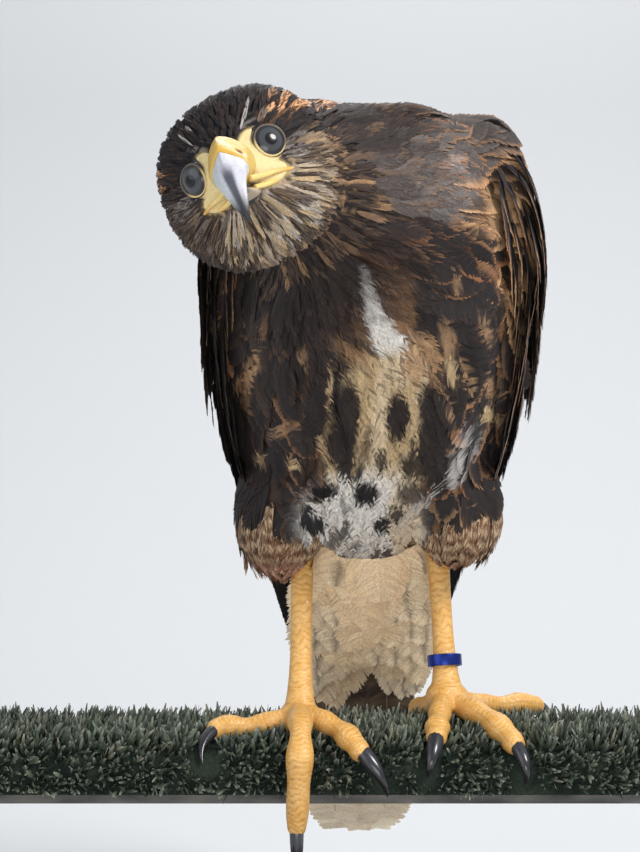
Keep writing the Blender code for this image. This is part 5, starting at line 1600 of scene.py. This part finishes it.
def buildLids():
    # a bead round each eye: its middle runs in a ring, its thickness and height vary with the turn
    shapes = []
    for side in (1, -1):
        axis, over, high, middle = eyeFrame(side)
        middle = middle - axis * face["lidDepth"]
        turn, small = fullTurn(96), fullTurn(16)
        out = over[None] * np.cos(turn)[:, None] + high[None] * np.sin(turn)[:, None]
        thick = 0.00030 + 0.00008 * np.sin(turn * 2 + 0.6) + 0.00004 * np.sin(turn * 31)
        reach = face["lidRadius"] - 0.0003 + thick[:, None] * 1.2 * np.cos(small)[None]
        rise = thick[:, None] * 1.15 * np.sin(small)[None] + 0.0004 * np.cos(turn)[:, None] ** 2
        rings = middle + out[:, None] * reach[..., None] + axis * rise[..., None]
        points = headPoint(rings.reshape(-1, 3))
        # bright yellow below and outside, dark above and inside: the dark upper part is painted shade under
        # the brow
        light = smoothStep(-np.sin(turn + side * 0.5), -0.05, 0.55)[:, None, None] * 0.9
        colour = mix(tone["lidPaintedShade"], tone["lid"], light) + np.zeros(rings.shape)
        shapes.append((points, outward(points, [torusFaces(96, 16)]), colour.reshape(-1, 3)))
    points, faces, colours = joinShapes(shapes)
    made = paintedMaterial("eyelids", 0.42, speckle=0.1, scale=3000, bump=0.2, bumpScale=4000)
    makePiece("eyelids", points, faces, made, colours)


def buildCere():
    rings, t, _ = billRings(face["upper"][: face["cereRows"]], 60, 96, grow=0.0003)
    nostrils = np.zeros(rings.shape[:2])
    dent = np.zeros(rings.shape[:2])
    for side in (1, -1):
        f, u = face["nostril"]
        ahead = rings[..., 1] - f
        gap = np.hypot(ahead / 0.0014, (rings[..., 2] - u + 0.5 * ahead) / 0.0013)
        gap = np.where(np.sign(rings[..., 0]) == side, gap, 9.0)
        nostrils = np.maximum(nostrils, 1 - smoothStep(gap, 0.55, 1.15))
        dent = np.maximum(dent, np.exp(-gap**2 * 1.1))
    edge = smoothStep(t, 0.90, 1.0)[:, None]
    puff = 0.00025 * np.sin(t * math.pi)[:, None] - 0.0006 * edge**2
    inward = unit(rings - np.array([0, 0.006, -0.003]))
    pits = 0.00005 * np.sin(rings[..., 1] * 5200) * np.sin(rings[..., 0] * 4700 + rings[..., 2] * 4100)
    rings = rings + inward * (puff - 0.0011 * dent + pits)[..., None]
    redder = edge * 0.5 + 0.25 * smoothStep(-rings[..., 2], 0.002, 0.008)
    colour = mix(tone["cere"], tone["cereOrange"], redder[..., None])
    aside = smoothStep(np.abs(rings[..., 0]), 0.0035, 0.0075)
    colour = mix(colour, tone["cereSide"], (aside * 0.55)[..., None])
    stain = np.exp(-((rings[..., 1] - 0.0148) / 0.0010) ** 2 - ((rings[..., 0] - 0.0012) / 0.0020) ** 2)
    stain = stain * smoothStep(rings[..., 2], 0.002, 0.004)
    colour = mix(colour, tone["cereRust"] * 1.6, (stain * 0.7)[..., None])
    # the nostrils are painted dark rust over a shallow dent: painted shade for the depth of the openings
    colour = mix(colour, tone["cereRust"], nostrils[..., None])
    points, faces = closedLoft(headPoint(rings))
    shapes = [(points, faces, loftColours(colour))]
    # the corners of the mouth: an upper and a lower lip, each a bar along its own path
    for side in (1, -1):
        cornerR, cornerF, cornerU = face["gapeCorner"]
        upper = headPoint(np.array([
            (side * 0.0042, 0.0140, -0.0096), (side * 0.0082, 0.0068, -0.0098),
            (side * 0.0118, 0.0022, -0.0100), (side * cornerR, cornerF, cornerU),
            (side * (cornerR + 0.0025), cornerF - 0.0035, cornerU - 0.0006)]))
        lower = headPoint(np.array([
            (side * 0.0040, 0.0100, -0.0122), (side * 0.0070, 0.0050, -0.0124),
            (side * 0.0104, 0.0006, -0.0122),
            (side * (cornerR - 0.0012), cornerF - 0.0004, cornerU - 0.0006)]))
        for lip, sizes in ((upper, (0.0010, 0.0009, 0.0007, 0.0006, 0.0003)),
                           (lower, (0.0008, 0.0009, 0.0008, 0.0004))):
            rings = pipe(lip, sizes, 20, 12)[0]
            points, faces = closedLoft(rings)
            far = smoothStep(np.linspace(0, 1, len(rings)), 0.25, 0.9)[:, None, None]
            colour = mix(tone["lip"], tone["lipOrange"], far) + np.zeros(rings.shape)
            shapes.append((points, faces, loftColours(colour, even=False)))
    points, faces, colours = joinShapes(shapes)
    made = paintedMaterial("cere skin", 0.38, speckle=0.10, scale=2200, bump=0.28, bumpScale=3200, coat=0.12)
    makePiece("cere", points, faces, made, colours, replaced=("cere",))


def buildBill():
    start = (face["cereRows"] - 1) / (len(face["upper"]) - 1)
    rings, t, angle = billRings(face["upper"], 120, 96, first=start + 0.004)
    # faint growth lines round the bill, none deeper than 0.03 mm
    ridges = 0.00002 * np.sin(t * 260)[:, None] * np.sin(angle * 3)[None]
    rings = rings + unit(rings - np.array([0, 0.018, -0.006])) * ridges[..., None]
    tip = smoothStep(t, 0.66, 0.90)[:, None]
    keel = np.abs(rings[..., 0]) / (0.0008 + np.abs(rings[..., 0]).max(axis=1, keepdims=True))
    streak = (1 - smoothStep(keel, 0.16, 0.44)) * smoothStep(t, 0.46, 0.60)[:, None]
    streaks = 0.5 + 0.5 * np.sin(angle * 9 + 1.0)[None] * np.sin(t * 21 + 2)[:, None]
    colour = mix(tone["bill"], tone["bill"] * 0.72, (streaks * 0.5)[..., None])
    # the bird's right side of the bill, away from the key light, is painted greener and darker: painted
    # shade
    shadedBillSide = np.sign(rings[..., 0]) < 0
    colour = mix(colour, tone["billGreen"], (shadedBillSide * 0.6 * smoothStep(keel, 0.3, 0.6))[..., None])
    colour = mix(colour, tone["billGrey"], (streak * 0.92)[..., None])
    colour = mix(colour, tone["billTip"], tip[..., None])
    points, faces = closedLoft(headPoint(rings))
    horn = paintedMaterial("bill horn", 0.40, speckle=0.12, scale=1400, bump=0.06, bumpScale=1500, coat=0.10)
    makePiece("beak_upper", points, faces, horn, loftColours(colour), replaced=("beak_upper",))
    rings, t, _ = billRings(face["lower"], 60, 64, ridge=2.4, grow=-0.0001)
    tip = smoothStep(t, 0.45, 0.85)[:, None, None]
    colour = mix(tone["billLower"], tone["billLowerTip"], tip) + np.zeros(rings.shape)
    points, faces = closedLoft(headPoint(rings))
    makePiece("beak_lower", points, faces, horn, loftColours(colour, even=False), replaced=("beak_lower",))


def buildEyes():
    # a ball in rings round its axis: radius * (sin of polar across, cos of polar along)
    glass, tree, shader = newMaterial("eye", 0.22, coat=0.45, specular=0.25)
    tree.links.new(shadeNode(tree).outputs["Color"], shader.inputs["Base Color"])
    for side, name in ((1, "left"), (-1, "right")):
        axis, over, high, middle = eyeFrame(side)
        centre = middle - axis * face["eyeRadius"]
        polar = np.concatenate([np.linspace(0, 0.62, 90), np.linspace(0.65, math.pi, 40)])
        turn = fullTurn(96)
        ring = np.cos(turn)[None, :, None] * over + np.sin(turn)[None, :, None] * high
        ring = ring * np.sin(polar)[:, None, None]
        shrink = 1 - 0.12 * smoothStep(polar, 0.70, 0.95)[:, None, None]
        points = centre + face["eyeRadius"] * shrink * (ring + np.cos(polar)[:, None, None] * axis)
        # pupil out to about 0.24 rad, iris with faint spokes to 0.5, then its dark rim
        spokes = 0.16 * np.sin(turn * 37)[None] * np.sin(turn * 11 + 1)[None]
        spokes = 1 + spokes * smoothStep(polar, 0.2, 0.3)[:, None]
        pupil = 1 - smoothStep(polar, 0.225, 0.255)[:, None]
        rim = smoothStep(polar, 0.44, 0.54)[:, None]
        inner = np.exp(-((polar - 0.25) / 0.035) ** 2)[:, None]
        iris = tone["iris"] * spokes[..., None] * (1 - 0.35 * inner)[..., None]
        colour = mix(iris, tone["pupil"], pupil[..., None])
        colour = mix(colour, tone["irisRim"], rim[..., None])
        points = headPoint(points.reshape(-1, 3))
        quads = gridFaces(len(polar), 96)
        makePiece(f"eye_{name}", points, outward(points, [quads]), glass, colour.reshape(-1, 3),
                  replaced=(f"eye_{name}",))


buildFaceSkin()
buildLids()
buildCere()
buildBill()
buildEyes()
print("face made")


# legs: shank, ball and toes melted into one skin, then their scutes raised and coloured

# offsets from the foot: four along the toe, the last of them the claw's root, then the claw's middle and tip
toes = {
    "right": {
        "3": ((0.0, -0.012, -0.001), (0.0005, -0.0265, -0.004), (0.0, -0.0325, -0.018),
              (-0.0010, -0.0320, -0.0395), (-0.0008, -0.0325, -0.0490), (-0.0002, -0.0270, -0.0590)),
        "4": ((-0.0081, -0.0030, -0.0037), (-0.0203, -0.0050, -0.0059), (-0.0304, -0.0065, -0.0056),
              (-0.0339, -0.0095, -0.0074), (-0.0368, -0.0160, -0.0104), (-0.0365, -0.0225, -0.0165)),
        "2": ((0.0063, -0.0070, -0.0023), (0.0143, -0.0130, -0.0049), (0.0205, -0.0195, -0.0088),
              (0.0241, -0.0240, -0.0131), (0.0300, -0.0270, -0.0192), (0.0333, -0.0260, -0.0282)),
        "1": ((-0.001, 0.010, -0.004), (0.0005, 0.0200, -0.0060), (0.0010, 0.0290, -0.0110),
              (0.0015, 0.0325, -0.0190), (0.0018, 0.0345, -0.0270), (0.0020, 0.0300, -0.0350)),
    },
    "left": {
        "3": ((0.0064, -0.0080, -0.0056), (0.0141, -0.0190, -0.0076), (0.0205, -0.0285, -0.0117),
              (0.0246, -0.0365, -0.0155), (0.0269, -0.0420, -0.0212), (0.0266, -0.0410, -0.0287)),
        "4": ((0.0095, 0.0, -0.0057), (0.0221, 0.0060, -0.0080), (0.0336, 0.0110, -0.0085),
              (0.0393, 0.0140, -0.0110), (0.0423, 0.0180, -0.0133), (0.0434, 0.0200, -0.0171)),
        "2": ((-0.0030, -0.0120, -0.0056), (-0.0046, -0.0220, -0.0081), (-0.0057, -0.0290, -0.0108),
              (-0.0062, -0.0345, -0.0130), (-0.0083, -0.0405, -0.0189), (-0.0102, -0.0405, -0.0258)),
        "1": ((-0.0044, 0.0080, -0.0087), (-0.0077, 0.0145, -0.0105), (-0.0098, 0.0200, -0.0141),
              (-0.0104, 0.0230, -0.0206), (-0.0108, 0.0235, -0.0287), (-0.0105, 0.0205, -0.0368)),
    },
}
toeRadius = {"3": 0.0049, "4": 0.0042, "2": 0.0046, "1": 0.0048}
clawRadius = {"3": 0.0027, "4": 0.0024, "2": 0.0031, "1": 0.0032}


def toePath(foot, offsets):
    return [foot + np.array(offset) for offset in ((0, 0, -0.003), *offsets)]


def legTubes(name):
    # each tube: path points, radii, and the side its scutes face
    leg = legs[name]
    heel, foot = np.array(leg["heel"]), np.array(leg["foot"])
    top = foot + (heel - foot) * 0.86
    axis = (top - foot) / np.linalg.norm(top - foot)
    shank = [foot - axis * 0.002] + [foot + (top - foot) * share for share in (0.12, 0.35, 0.7)] + [top]
    tubes = [{"kind": "shank", "path": shank, "radii": np.array((0.0066, 0.0050, 0.0042, 0.0043, 0.0048)),
              "face": np.array([0.0, -1.0, 0.25])}]
    for toe, offsets in toes[name].items():
        # a little thicker between the joints
        tubes.append({"kind": "toe", "path": toePath(foot, offsets[:4]),
                      "radii": toeRadius[toe] * np.array((1.10, 0.95, 0.88, 1.00, 0.66)),
                      "face": np.array([0.0, -0.35, 1.0])})
    return tubes


def buildLeg(name):
    foot = np.array(legs[name]["foot"])
    tubes = legTubes(name)
    shapes, paths = [], []
    for tube in tubes:
        rings, centre, along = pipe(tube["path"], tube["radii"], 24, 10)
        t = np.linspace(0, 1, len(rings))
        if tube["kind"] == "toe":
            pads = 1 + 0.10 * np.sin(t * math.pi * 7) * smoothStep(t, 0.2, 0.35)
            shift = np.array([0, 0, -1.0]) * 0.0003
            rings = centre[:, None] + (rings - centre[:, None]) * pads[:, None, None] + shift
        shapes.append(closedLoft(rings))
        radius = np.interp(t, np.linspace(0, 1, len(tube["radii"])), tube["radii"])
        paths.append((centre, along, t, radius))
    polar, turn = np.linspace(0.05, math.pi - 0.05, 20), fullTurn(32)
    ball = np.stack([np.sin(polar)[:, None] * np.cos(turn), np.sin(polar)[:, None] * np.sin(turn),
                     np.cos(polar)[:, None] + 0 * turn], -1)
    middle = foot + np.array([0, -0.001, -0.0035])
    shapes.append(closedLoft(middle + ball * np.array([0.0084, 0.0084, 0.0072])))
    points, normals, faces = meltShapes(shapes, 0.00052, 5)
    # nearest tube of every point, how far along it that is, and the angle round it from its scuted side
    gap = np.full(len(points), 9.0)
    along, around, kind = (np.zeros(len(points)) for _ in range(3))
    for k, (centre, way, t, radius) in enumerate(paths):
        distance = np.empty((len(points), len(centre)), np.float32)
        for j in range(len(centre)):
            distance[:, j] = np.linalg.norm(points - centre[j], axis=1) - radius[j]
        best = np.argmin(distance, axis=1)
        near = distance[np.arange(len(points)), best]
        closer = near < gap
        facing = across(np.broadcast_to(tubes[k]["face"], way.shape), way)
        offset = points - centre[best]
        total = np.sum(np.linalg.norm(np.diff(centre, axis=0), axis=1))
        turnHere = np.arctan2(np.sum(offset * np.cross(way, facing)[best], axis=1),
                              np.sum(offset * facing[best], axis=1))
        gap = np.where(closer, near, gap)
        along = np.where(closer, t[best] * total + np.sum(offset * way[best], axis=1), along)
        around = np.where(closer, turnHere, around)
        kind = np.where(closer, k, kind)
    metres = along + 0.01
    shank = kind == 0
    # wide scutes across the front of the shank and the tops of the toes, with a groove between them
    pitch = np.where(shank, 0.0022, 0.0016)
    uneven = 0.30 * np.sin(metres * 610 + 1.3 * np.sin(around * 2))
    uneven = uneven + 0.20 * np.sin(around * 5 + metres * 340)
    cell = metres / pitch + np.where(shank, 0.12 * np.cos(around), 0.0) + uneven
    saw = cell - np.floor(cell)
    groove = np.exp(-((saw - 0.5) / 0.5) ** 8)
    half = np.where(shank, 1.15, 0.45 + 0.55 * smoothStep(metres, 0.020, 0.032))
    onTop = 1 - smoothStep(np.abs(around), half * 0.80, half)
    plate = (0.35 + 0.65 * np.clip(1 - (2 * saw - 1.15) ** 2, 0, 1)) * groove
    side = np.exp(-((np.abs(around) - half) / 0.07) ** 2)
    # small rounded scales elsewhere: offset rows round the leg
    row = np.floor(metres / 0.0013)
    spotU = around / 0.34 + 0.5 * (row % 2) + 0.15 * np.sin(row * 2.3)
    small = np.sin(math.pi * (spotU - np.floor(spotU))) * np.sin(math.pi * (metres / 0.0013 - row))
    small = np.clip(small, 0, 1) ** 0.6
    rise = onTop * plate * 0.00030 + (1 - onTop) * small * 0.00016 - side * 0.00010
    fade = 1 - smoothStep(np.linalg.norm(points - foot, axis=1), 0.0, 0.004)
    points = points + normals * (rise * (1 - fade))[:, None]
    raised = np.where(onTop > 0.5, groove * np.clip(1 - (2 * saw - 1.1) ** 6, 0, 1), small**0.7)
    crease = np.clip(1 - raised, 0, 1)
    mottled = 0.5 + 0.5 * np.sin(metres * 900 + around * 2.0) * np.sin(around * 3.3 + metres * 310)
    colour = mix(tone["leg"], tone["legBright"], (mottled * 0.6)[:, None])
    colour = mix(colour, tone["legDeep"], (crease * 0.55)[:, None])
    sole = smoothStep(-normals[:, 2], 0.5, 0.9)
    colour = mix(colour, tone["sole"], (sole * 0.5)[:, None])
    # the skin below the turf's top is painted 15% darker: painted shade among the blades
    inTurf = smoothStep(points[:, 2], soleZ + 0.0005, soleZ - 0.0015)
    colour = mix(colour, colour * 0.85, inTurf[:, None])
    legSkin = bpy.data.materials.get("leg scales") or paintedMaterial(
        "leg scales", 0.42, speckle=0.10, scale=2600, bump=0.30, bumpScale=2800, coat=0.08)
    makePiece(f"leg_skin_{name}", points, faces, legSkin, colour,
              replaced=(f"tarsus_{name}", f"foot_{name}"))


def buildClaws(name):
    foot = np.array(legs[name]["foot"])
    horn = bpy.data.materials.get("claw horn") or paintedMaterial(
        "claw horn", 0.25, speckle=0.25, scale=900, bump=0.06, bumpScale=1500, coat=0.4)
    for toe, offsets in toes[name].items():
        knuckle, middle, tip = (foot + np.array(o) for o in offsets[3:6])
        inward = unit(knuckle - (foot + np.array(offsets[2])))
        size = clawRadius[toe]
        start = knuckle - inward * 0.0030 + np.array([0, 0, 0.0006])
        # a parabola through the start, the middle and the tip
        t = np.linspace(0, 1, 7)[:, None]
        path = start + (4 * middle - 3 * start - tip) * t + (2 * start + 2 * tip - 4 * middle) * t**2
        rings = pipe(path, size * np.array((1.0, 1.0, 0.92, 0.78, 0.58, 0.34, 0.05)), 32, 24)[0]
        t = np.linspace(0, 1, len(rings))[:, None, None]
        streak = 0.5 + 0.5 * np.sin(fullTurn(32, 14 * math.pi))[None, :, None]
        colour = mix(tone["claw"] * (0.7 + 0.5 * streak), tone["clawTip"], smoothStep(t, 0.25, 0.6))
        points, faces = closedLoft(rings)
        makePiece(f"claw_{name}_{toe}", points, faces, horn, loftColours(colour, even=False),
                  replaced=(f"claw_{name}_{toe}",))


for name in legs:
    buildLeg(name)
    buildClaws(name)
print("legs made")


legRing = {
    "inner": 0.0060,
    "wall": 0.0009,
    "half": 0.0023,  # half its height
    "edge": 0.00025,  # rounding of its edges
    "place": 0.155,  # share of the way from the foot to the heel
    "turns": 128,
}


def buildRing():
    # flat metal band round the left shank: a profile rounded at its four edges, turned round the leg
    leg = legs["left"]
    heel, foot = np.array(leg["heel"]), np.array(leg["foot"])
    axis = unit(heel - foot)
    middle = foot + (heel - foot) * legRing["place"]
    side = unit(np.cross(axis, np.array([0, 1.0, 0])))
    other = np.cross(axis, side)
    inner, wall, half, edge = (legRing[key] for key in ("inner", "wall", "half", "edge"))
    turn = fullTurn(legRing["turns"])
    corner = np.linspace(0, math.pi / 2, 5)
    profile = []
    for cr, ch, start in ((inner + wall - edge, half - edge, 0), (inner + edge, half - edge, 1),
                          (inner + edge, -half + edge, 2), (inner + wall - edge, -half + edge, 3)):
        angle = corner + start * math.pi / 2
        profile += list(zip(cr + edge * np.cos(angle), ch + edge * np.sin(angle)))
    profile = np.array(profile)
    out = side * np.cos(turn)[:, None] + other * np.sin(turn)[:, None]
    points = middle + out[:, None] * profile[None, :, :1] + axis * profile[None, :, 1:]
    quads = torusFaces(len(turn), len(profile))
    metal, tree, shader = newMaterial("ring metal", 0.28, metal=0.85)
    wear = objectNoise(tree, 900, stretch=(1, 1, 4))
    ramp = tree.nodes.new("ShaderNodeMix")
    ramp.data_type = "RGBA"
    ramp.inputs["A"].default_value = (0.008, 0.018, 0.17, 1)
    ramp.inputs["B"].default_value = (0.03, 0.06, 0.32, 1)
    tree.links.new(wear.outputs["Fac"], ramp.inputs["Factor"])
    tree.links.new(ramp.outputs["Result"], shader.inputs["Base Color"])
    flatPoints = points.reshape(-1, 3)
    makePiece("leg_ring", flatPoints, outward(flatPoints, [quads]), metal, replaced=("leg_ring",))


buildRing()


# perch: a mat of short weathered turf on the dark bar, and the plain stand


turf = {
    "blades": 11000,
    "reach": 0.149,  # how far from the middle the blades are rooted
    "tuft": 0.0052,
    "blade": (0.0030, 0.0058),  # shortest and longest
    "half": (0.00048, 0.00080),  # narrowest and widest, to either side
    "straw": 0.05,  # the share of dry blades
    "clear": 0.0016,  # no blade is rooted nearer to a toe
}


def turfProfile(count):
    # the strip's section as y, z: flat underside, upright sides, rounded upper edges
    half, low, high, corner = perch["turfDepth"] / 2, perch["turfBottom"], soleZ, perch["turfRound"]
    turn = np.linspace(0, math.pi / 2, 24)
    y = np.concatenate([half - corner + corner * np.cos(turn), -(half - corner) - corner * np.sin(turn)])
    z = np.concatenate([high - corner + corner * np.sin(turn), high - corner + corner * np.cos(turn)])
    y = np.concatenate([[half], y, [-half]])
    z = np.concatenate([[low], z, [low]])
    run = np.concatenate([[0], np.cumsum(np.hypot(np.diff(y), np.diff(z)))])
    at = np.linspace(0, run[-1], count)
    return np.interp(at, run, y), np.interp(at, run, z)


def buildTurf():
    # ends a little short of the bar's, so that the bar's end face shows
    half = perch["length"] / 2 - 0.0004
    x = np.linspace(-half, half, 420)
    y, z = turfProfile(130)
    outY, outZ = np.gradient(z), -np.gradient(y)
    size = np.hypot(outY, outZ)
    outY, outZ = -outY / size, -outZ / size
    if outZ[65] < 0:
        outY, outZ = -outY, -outZ
    lumps = np.sin(x[:, None] * 2100 + 3 * np.sin(y[None] * 900)) * np.sin(z[None] * 1900 + x[:, None] * 700)
    rough = 0.00035 * lumps - 0.0005
    points = np.stack(np.broadcast_arrays(x[:, None], y + rough * outY, z + rough * outZ), -1)
    lower = points[:, [0, -1]].mean(1, keepdims=True) * np.array([1, 0, 1.0])
    rings = np.concatenate([points, lower], axis=1)
    shapePoints, faces = closedLoft(rings)
    made, tree, shader = newMaterial("turf mat", 0.9, specular=0.2)
    big, small = objectNoise(tree, 140, 4), objectNoise(tree, 1500, 3)
    both = tree.nodes.new("ShaderNodeMath")
    both.operation = "MULTIPLY_ADD"
    both.inputs[1].default_value = 0.6
    tree.links.new(small.outputs["Fac"], both.inputs[0])
    tree.links.new(big.outputs["Fac"], both.inputs[2])
    shift = tree.nodes.new("ShaderNodeMath")
    shift.operation = "SUBTRACT"
    shift.inputs[1].default_value = 0.28
    tree.links.new(both.outputs["Value"], shift.inputs[0])
    colourRamp(tree, shift.outputs["Value"], shader,
               (0.35, 0.008, 0.014, 0.011), (0.70, 0.024, 0.034, 0.024))
    makePiece("turf_mat", shapePoints, faces, made, replaced=("perch_turf",))


def buildBlades():
    # each blade is a strip of eight points: root + way * t + bend * t^2, half its width to either side
    rng = np.random.default_rng(91)
    count = turf["blades"]
    y, z = turfProfile(400)
    pick = rng.integers(6, 394, count)
    x = rng.uniform(-turf["reach"], turf["reach"], count)
    outY, outZ = -np.gradient(z), np.gradient(y)
    if outZ[200] < 0:
        outY, outZ = -outY, -outZ
    size = np.hypot(outY, outZ)
    normal = np.stack([0 * y, outY / size, outZ / size], -1)[pick]
    root = np.stack([x, y[pick], z[pick]], -1) - normal * 0.0006
    toeGap = np.full(count, 9.0)
    for name in legs:
        foot = np.array(legs[name]["foot"])
        for toe, offsets in toes[name].items():
            gap = np.linalg.norm(root[:, None] - finePath(toePath(foot, offsets))[None], axis=-1).min(1)
            toeGap = np.minimum(toeGap, gap - toeRadius[toe])
    keep = toeGap > turf["clear"]
    root, normal, toeGap = root[keep], normal[keep], toeGap[keep]
    count = len(root)
    # blades stand in tufts: all of one tuft lean from its own middle
    tuft = np.floor(root / turf["tuft"])
    middle = (tuft + 0.5 + 0.3 * np.sin(tuft[:, ::-1] * 12.9 + 4.1)) * turf["tuft"]
    long = rng.uniform(*turf["blade"], count) * (0.6 + 0.4 * smoothStep(toeGap, 0.001, 0.008))
    long = long * (1 + 0.45 * smoothStep(root[:, 2], soleZ - 0.004, soleZ - 0.001))
    lean = rng.normal(0, 0.30, (count, 3)) + across(root - middle, normal) * 0.45 + np.array([0, 0, 0.15])
    way = unit(normal + lean)
    side = unit(np.cross(way, rng.normal(0, 1, (count, 3)))) * rng.uniform(*turf["half"], count)[:, None]
    bend = unit(rng.normal(0, 1, (count, 3)) + way) * 0.55
    t = np.array([0, 0.4, 0.75, 1.0])[None, :, None]
    centre = root[:, None] + (way[:, None] * t + (bend * 0.5)[:, None] * t**2) * long[:, None, None]
    wide = np.array([0.7, 1.0, 0.95, 0.35])[None, :, None]
    points = np.stack([centre - side[:, None] * wide, centre + side[:, None] * wide], 2)
    limit = perch["length"] / 2 + 0.0005
    points[..., 0] = np.clip(points[..., 0], -limit, limit)
    index = np.arange(count * 8).reshape(count, 4, 2)
    mood = rng.random((count, 1))
    base = mix(tone["turfDeep"], tone["turf"], mood**1.4)
    straw = (rng.random((count, 1)) < turf["straw"]) * 1.0
    base = mix(base, tone["turfStraw"], straw)
    bleach = np.array([0, 0, 0.20, 0.85])[None, :, None, None] * rng.random((count, 1, 1, 1))
    # each blade is painted darker towards its root and lighter towards its tip: painted shade deep in the
    # turf and painted light on the tips
    colours = base[:, None, None] * np.array([0.35, 0.8, 1.1, 1.2])[None, :, None, None]
    colours = mix(colours + np.zeros((count, 4, 2, 3)), tone["turfWorn"], bleach)
    made = paintedMaterial("turf blades", 0.7, speckle=0.25, scale=600, specular=0.3)
    makePiece("turf_blades", points.reshape(-1, 3), [stripFaces(index)], made, colours.reshape(-1, 3),
              smooth=False)


def grainyFinish(name, low, high, scale, rough, stretch, metal):
    made, tree, shader = newMaterial(name, rough, metal=metal)
    noise = objectNoise(tree, scale, 5, stretch)
    colourRamp(tree, noise.outputs["Fac"], shader, (0.35, *low), (0.68, *high))
    addBump(tree, noise, shader, 0.15, 0.0003)
    return made


buildTurf()
buildBlades()
barFinish = grainyFinish(
    "bar metal", (0.045, 0.045, 0.044), (0.16, 0.155, 0.14), 160, 0.55, (0.3, 1, 1), 0.3)
rodFinish = grainyFinish(
    "stand rod", (0.030, 0.030, 0.032), (0.075, 0.075, 0.078), 220, 0.42, (1, 1, 0.3), 0.4)
boardFinish = grainyFinish(
    "stand board", (0.030, 0.022, 0.017), (0.085, 0.058, 0.042), 60, 0.5, (0.12, 1, 1), 0.0)
for node, finish in (("perch_bar", barFinish), ("stand_rod_left", rodFinish), ("stand_rod_right", rodFinish),
                     ("stand_base", boardFinish)):
    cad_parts[node].data.materials.clear()
    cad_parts[node].data.materials.append(finish)
print("perch made")


# pale stage, soft light, and the camera as in the photo


def buildStage():
    # floor rising into a backdrop: z = 0 to the bend, then a quarter circle upwards
    x = np.linspace(-2.2, 2.2, 5)[None]
    turn = np.linspace(0, math.pi / 2, 24)
    y = np.concatenate([[-1.6, 0.2], 0.55 + 0.5 * np.sin(turn), [1.05]])[:, None]
    z = np.concatenate([[0, 0], 0.5 - 0.5 * np.cos(turn), [2.6]])[:, None]
    points = np.stack(np.broadcast_arrays(x, y, z), -1)
    made, _, shader = newMaterial("stage paper", 0.85, specular=0.2)
    shader.inputs["Base Color"].default_value = (0.62, 0.63, 0.64, 1)
    piece = makePiece("stage_floor", points, [gridFaces(len(y), 5, closed=False)], made)


def softLight(name, place, size, power, colour, aim):
    lamp = bpy.data.lights.new(name, "AREA")
    lamp.shape = "ELLIPSE"
    lamp.size, lamp.size_y = size
    lamp.energy = power
    lamp.color = colour
    made = addObject(name, lamp)
    made.location = place
    made.rotation_euler = (Vector(aim) - Vector(place)).to_track_quat("-Z", "Y").to_euler()


buildStage()
softLight("key light", (0.80, -0.62, 1.15), (0.50, 0.50), 15, (1.0, 0.98, 0.95), (0, 0, 0.28))
softLight("fill light", (-0.95, -0.65, 0.55), (1.0, 1.0), 3, (0.93, 0.96, 1.0), (0, 0, 0.25))
softLight("low light", (0.0, -0.95, 0.14), (0.7, 0.4), 2.6, (1.0, 0.98, 0.95), (0, 0, 0.16))
softLight("back light", (0.1, 0.75, 1.25), (0.9, 0.5), 9, (1.0, 1.0, 1.0), (0, 0, 0.32))

world = bpy.data.worlds.new("studio")
world.use_nodes = True
world.node_tree.nodes["Background"].inputs["Color"].default_value = (0.82, 0.86, 0.92, 1)
world.node_tree.nodes["Background"].inputs["Strength"].default_value = 0.58
bpy.context.scene.world = world

view = bpy.data.cameras.new("camera")
view.lens = camera["focus"] * camera["sensor"] / camera["height"]
view.sensor_width = camera["sensor"]
view.clip_start = 0.01
viewer = addObject("camera", view)
viewer.location = cameraPlace
viewer.rotation_euler = (cameraTip, 0, 0)
bpy.context.scene.camera = viewer
bpy.context.scene.view_settings.view_transform = "Standard"

low, high = cadBox
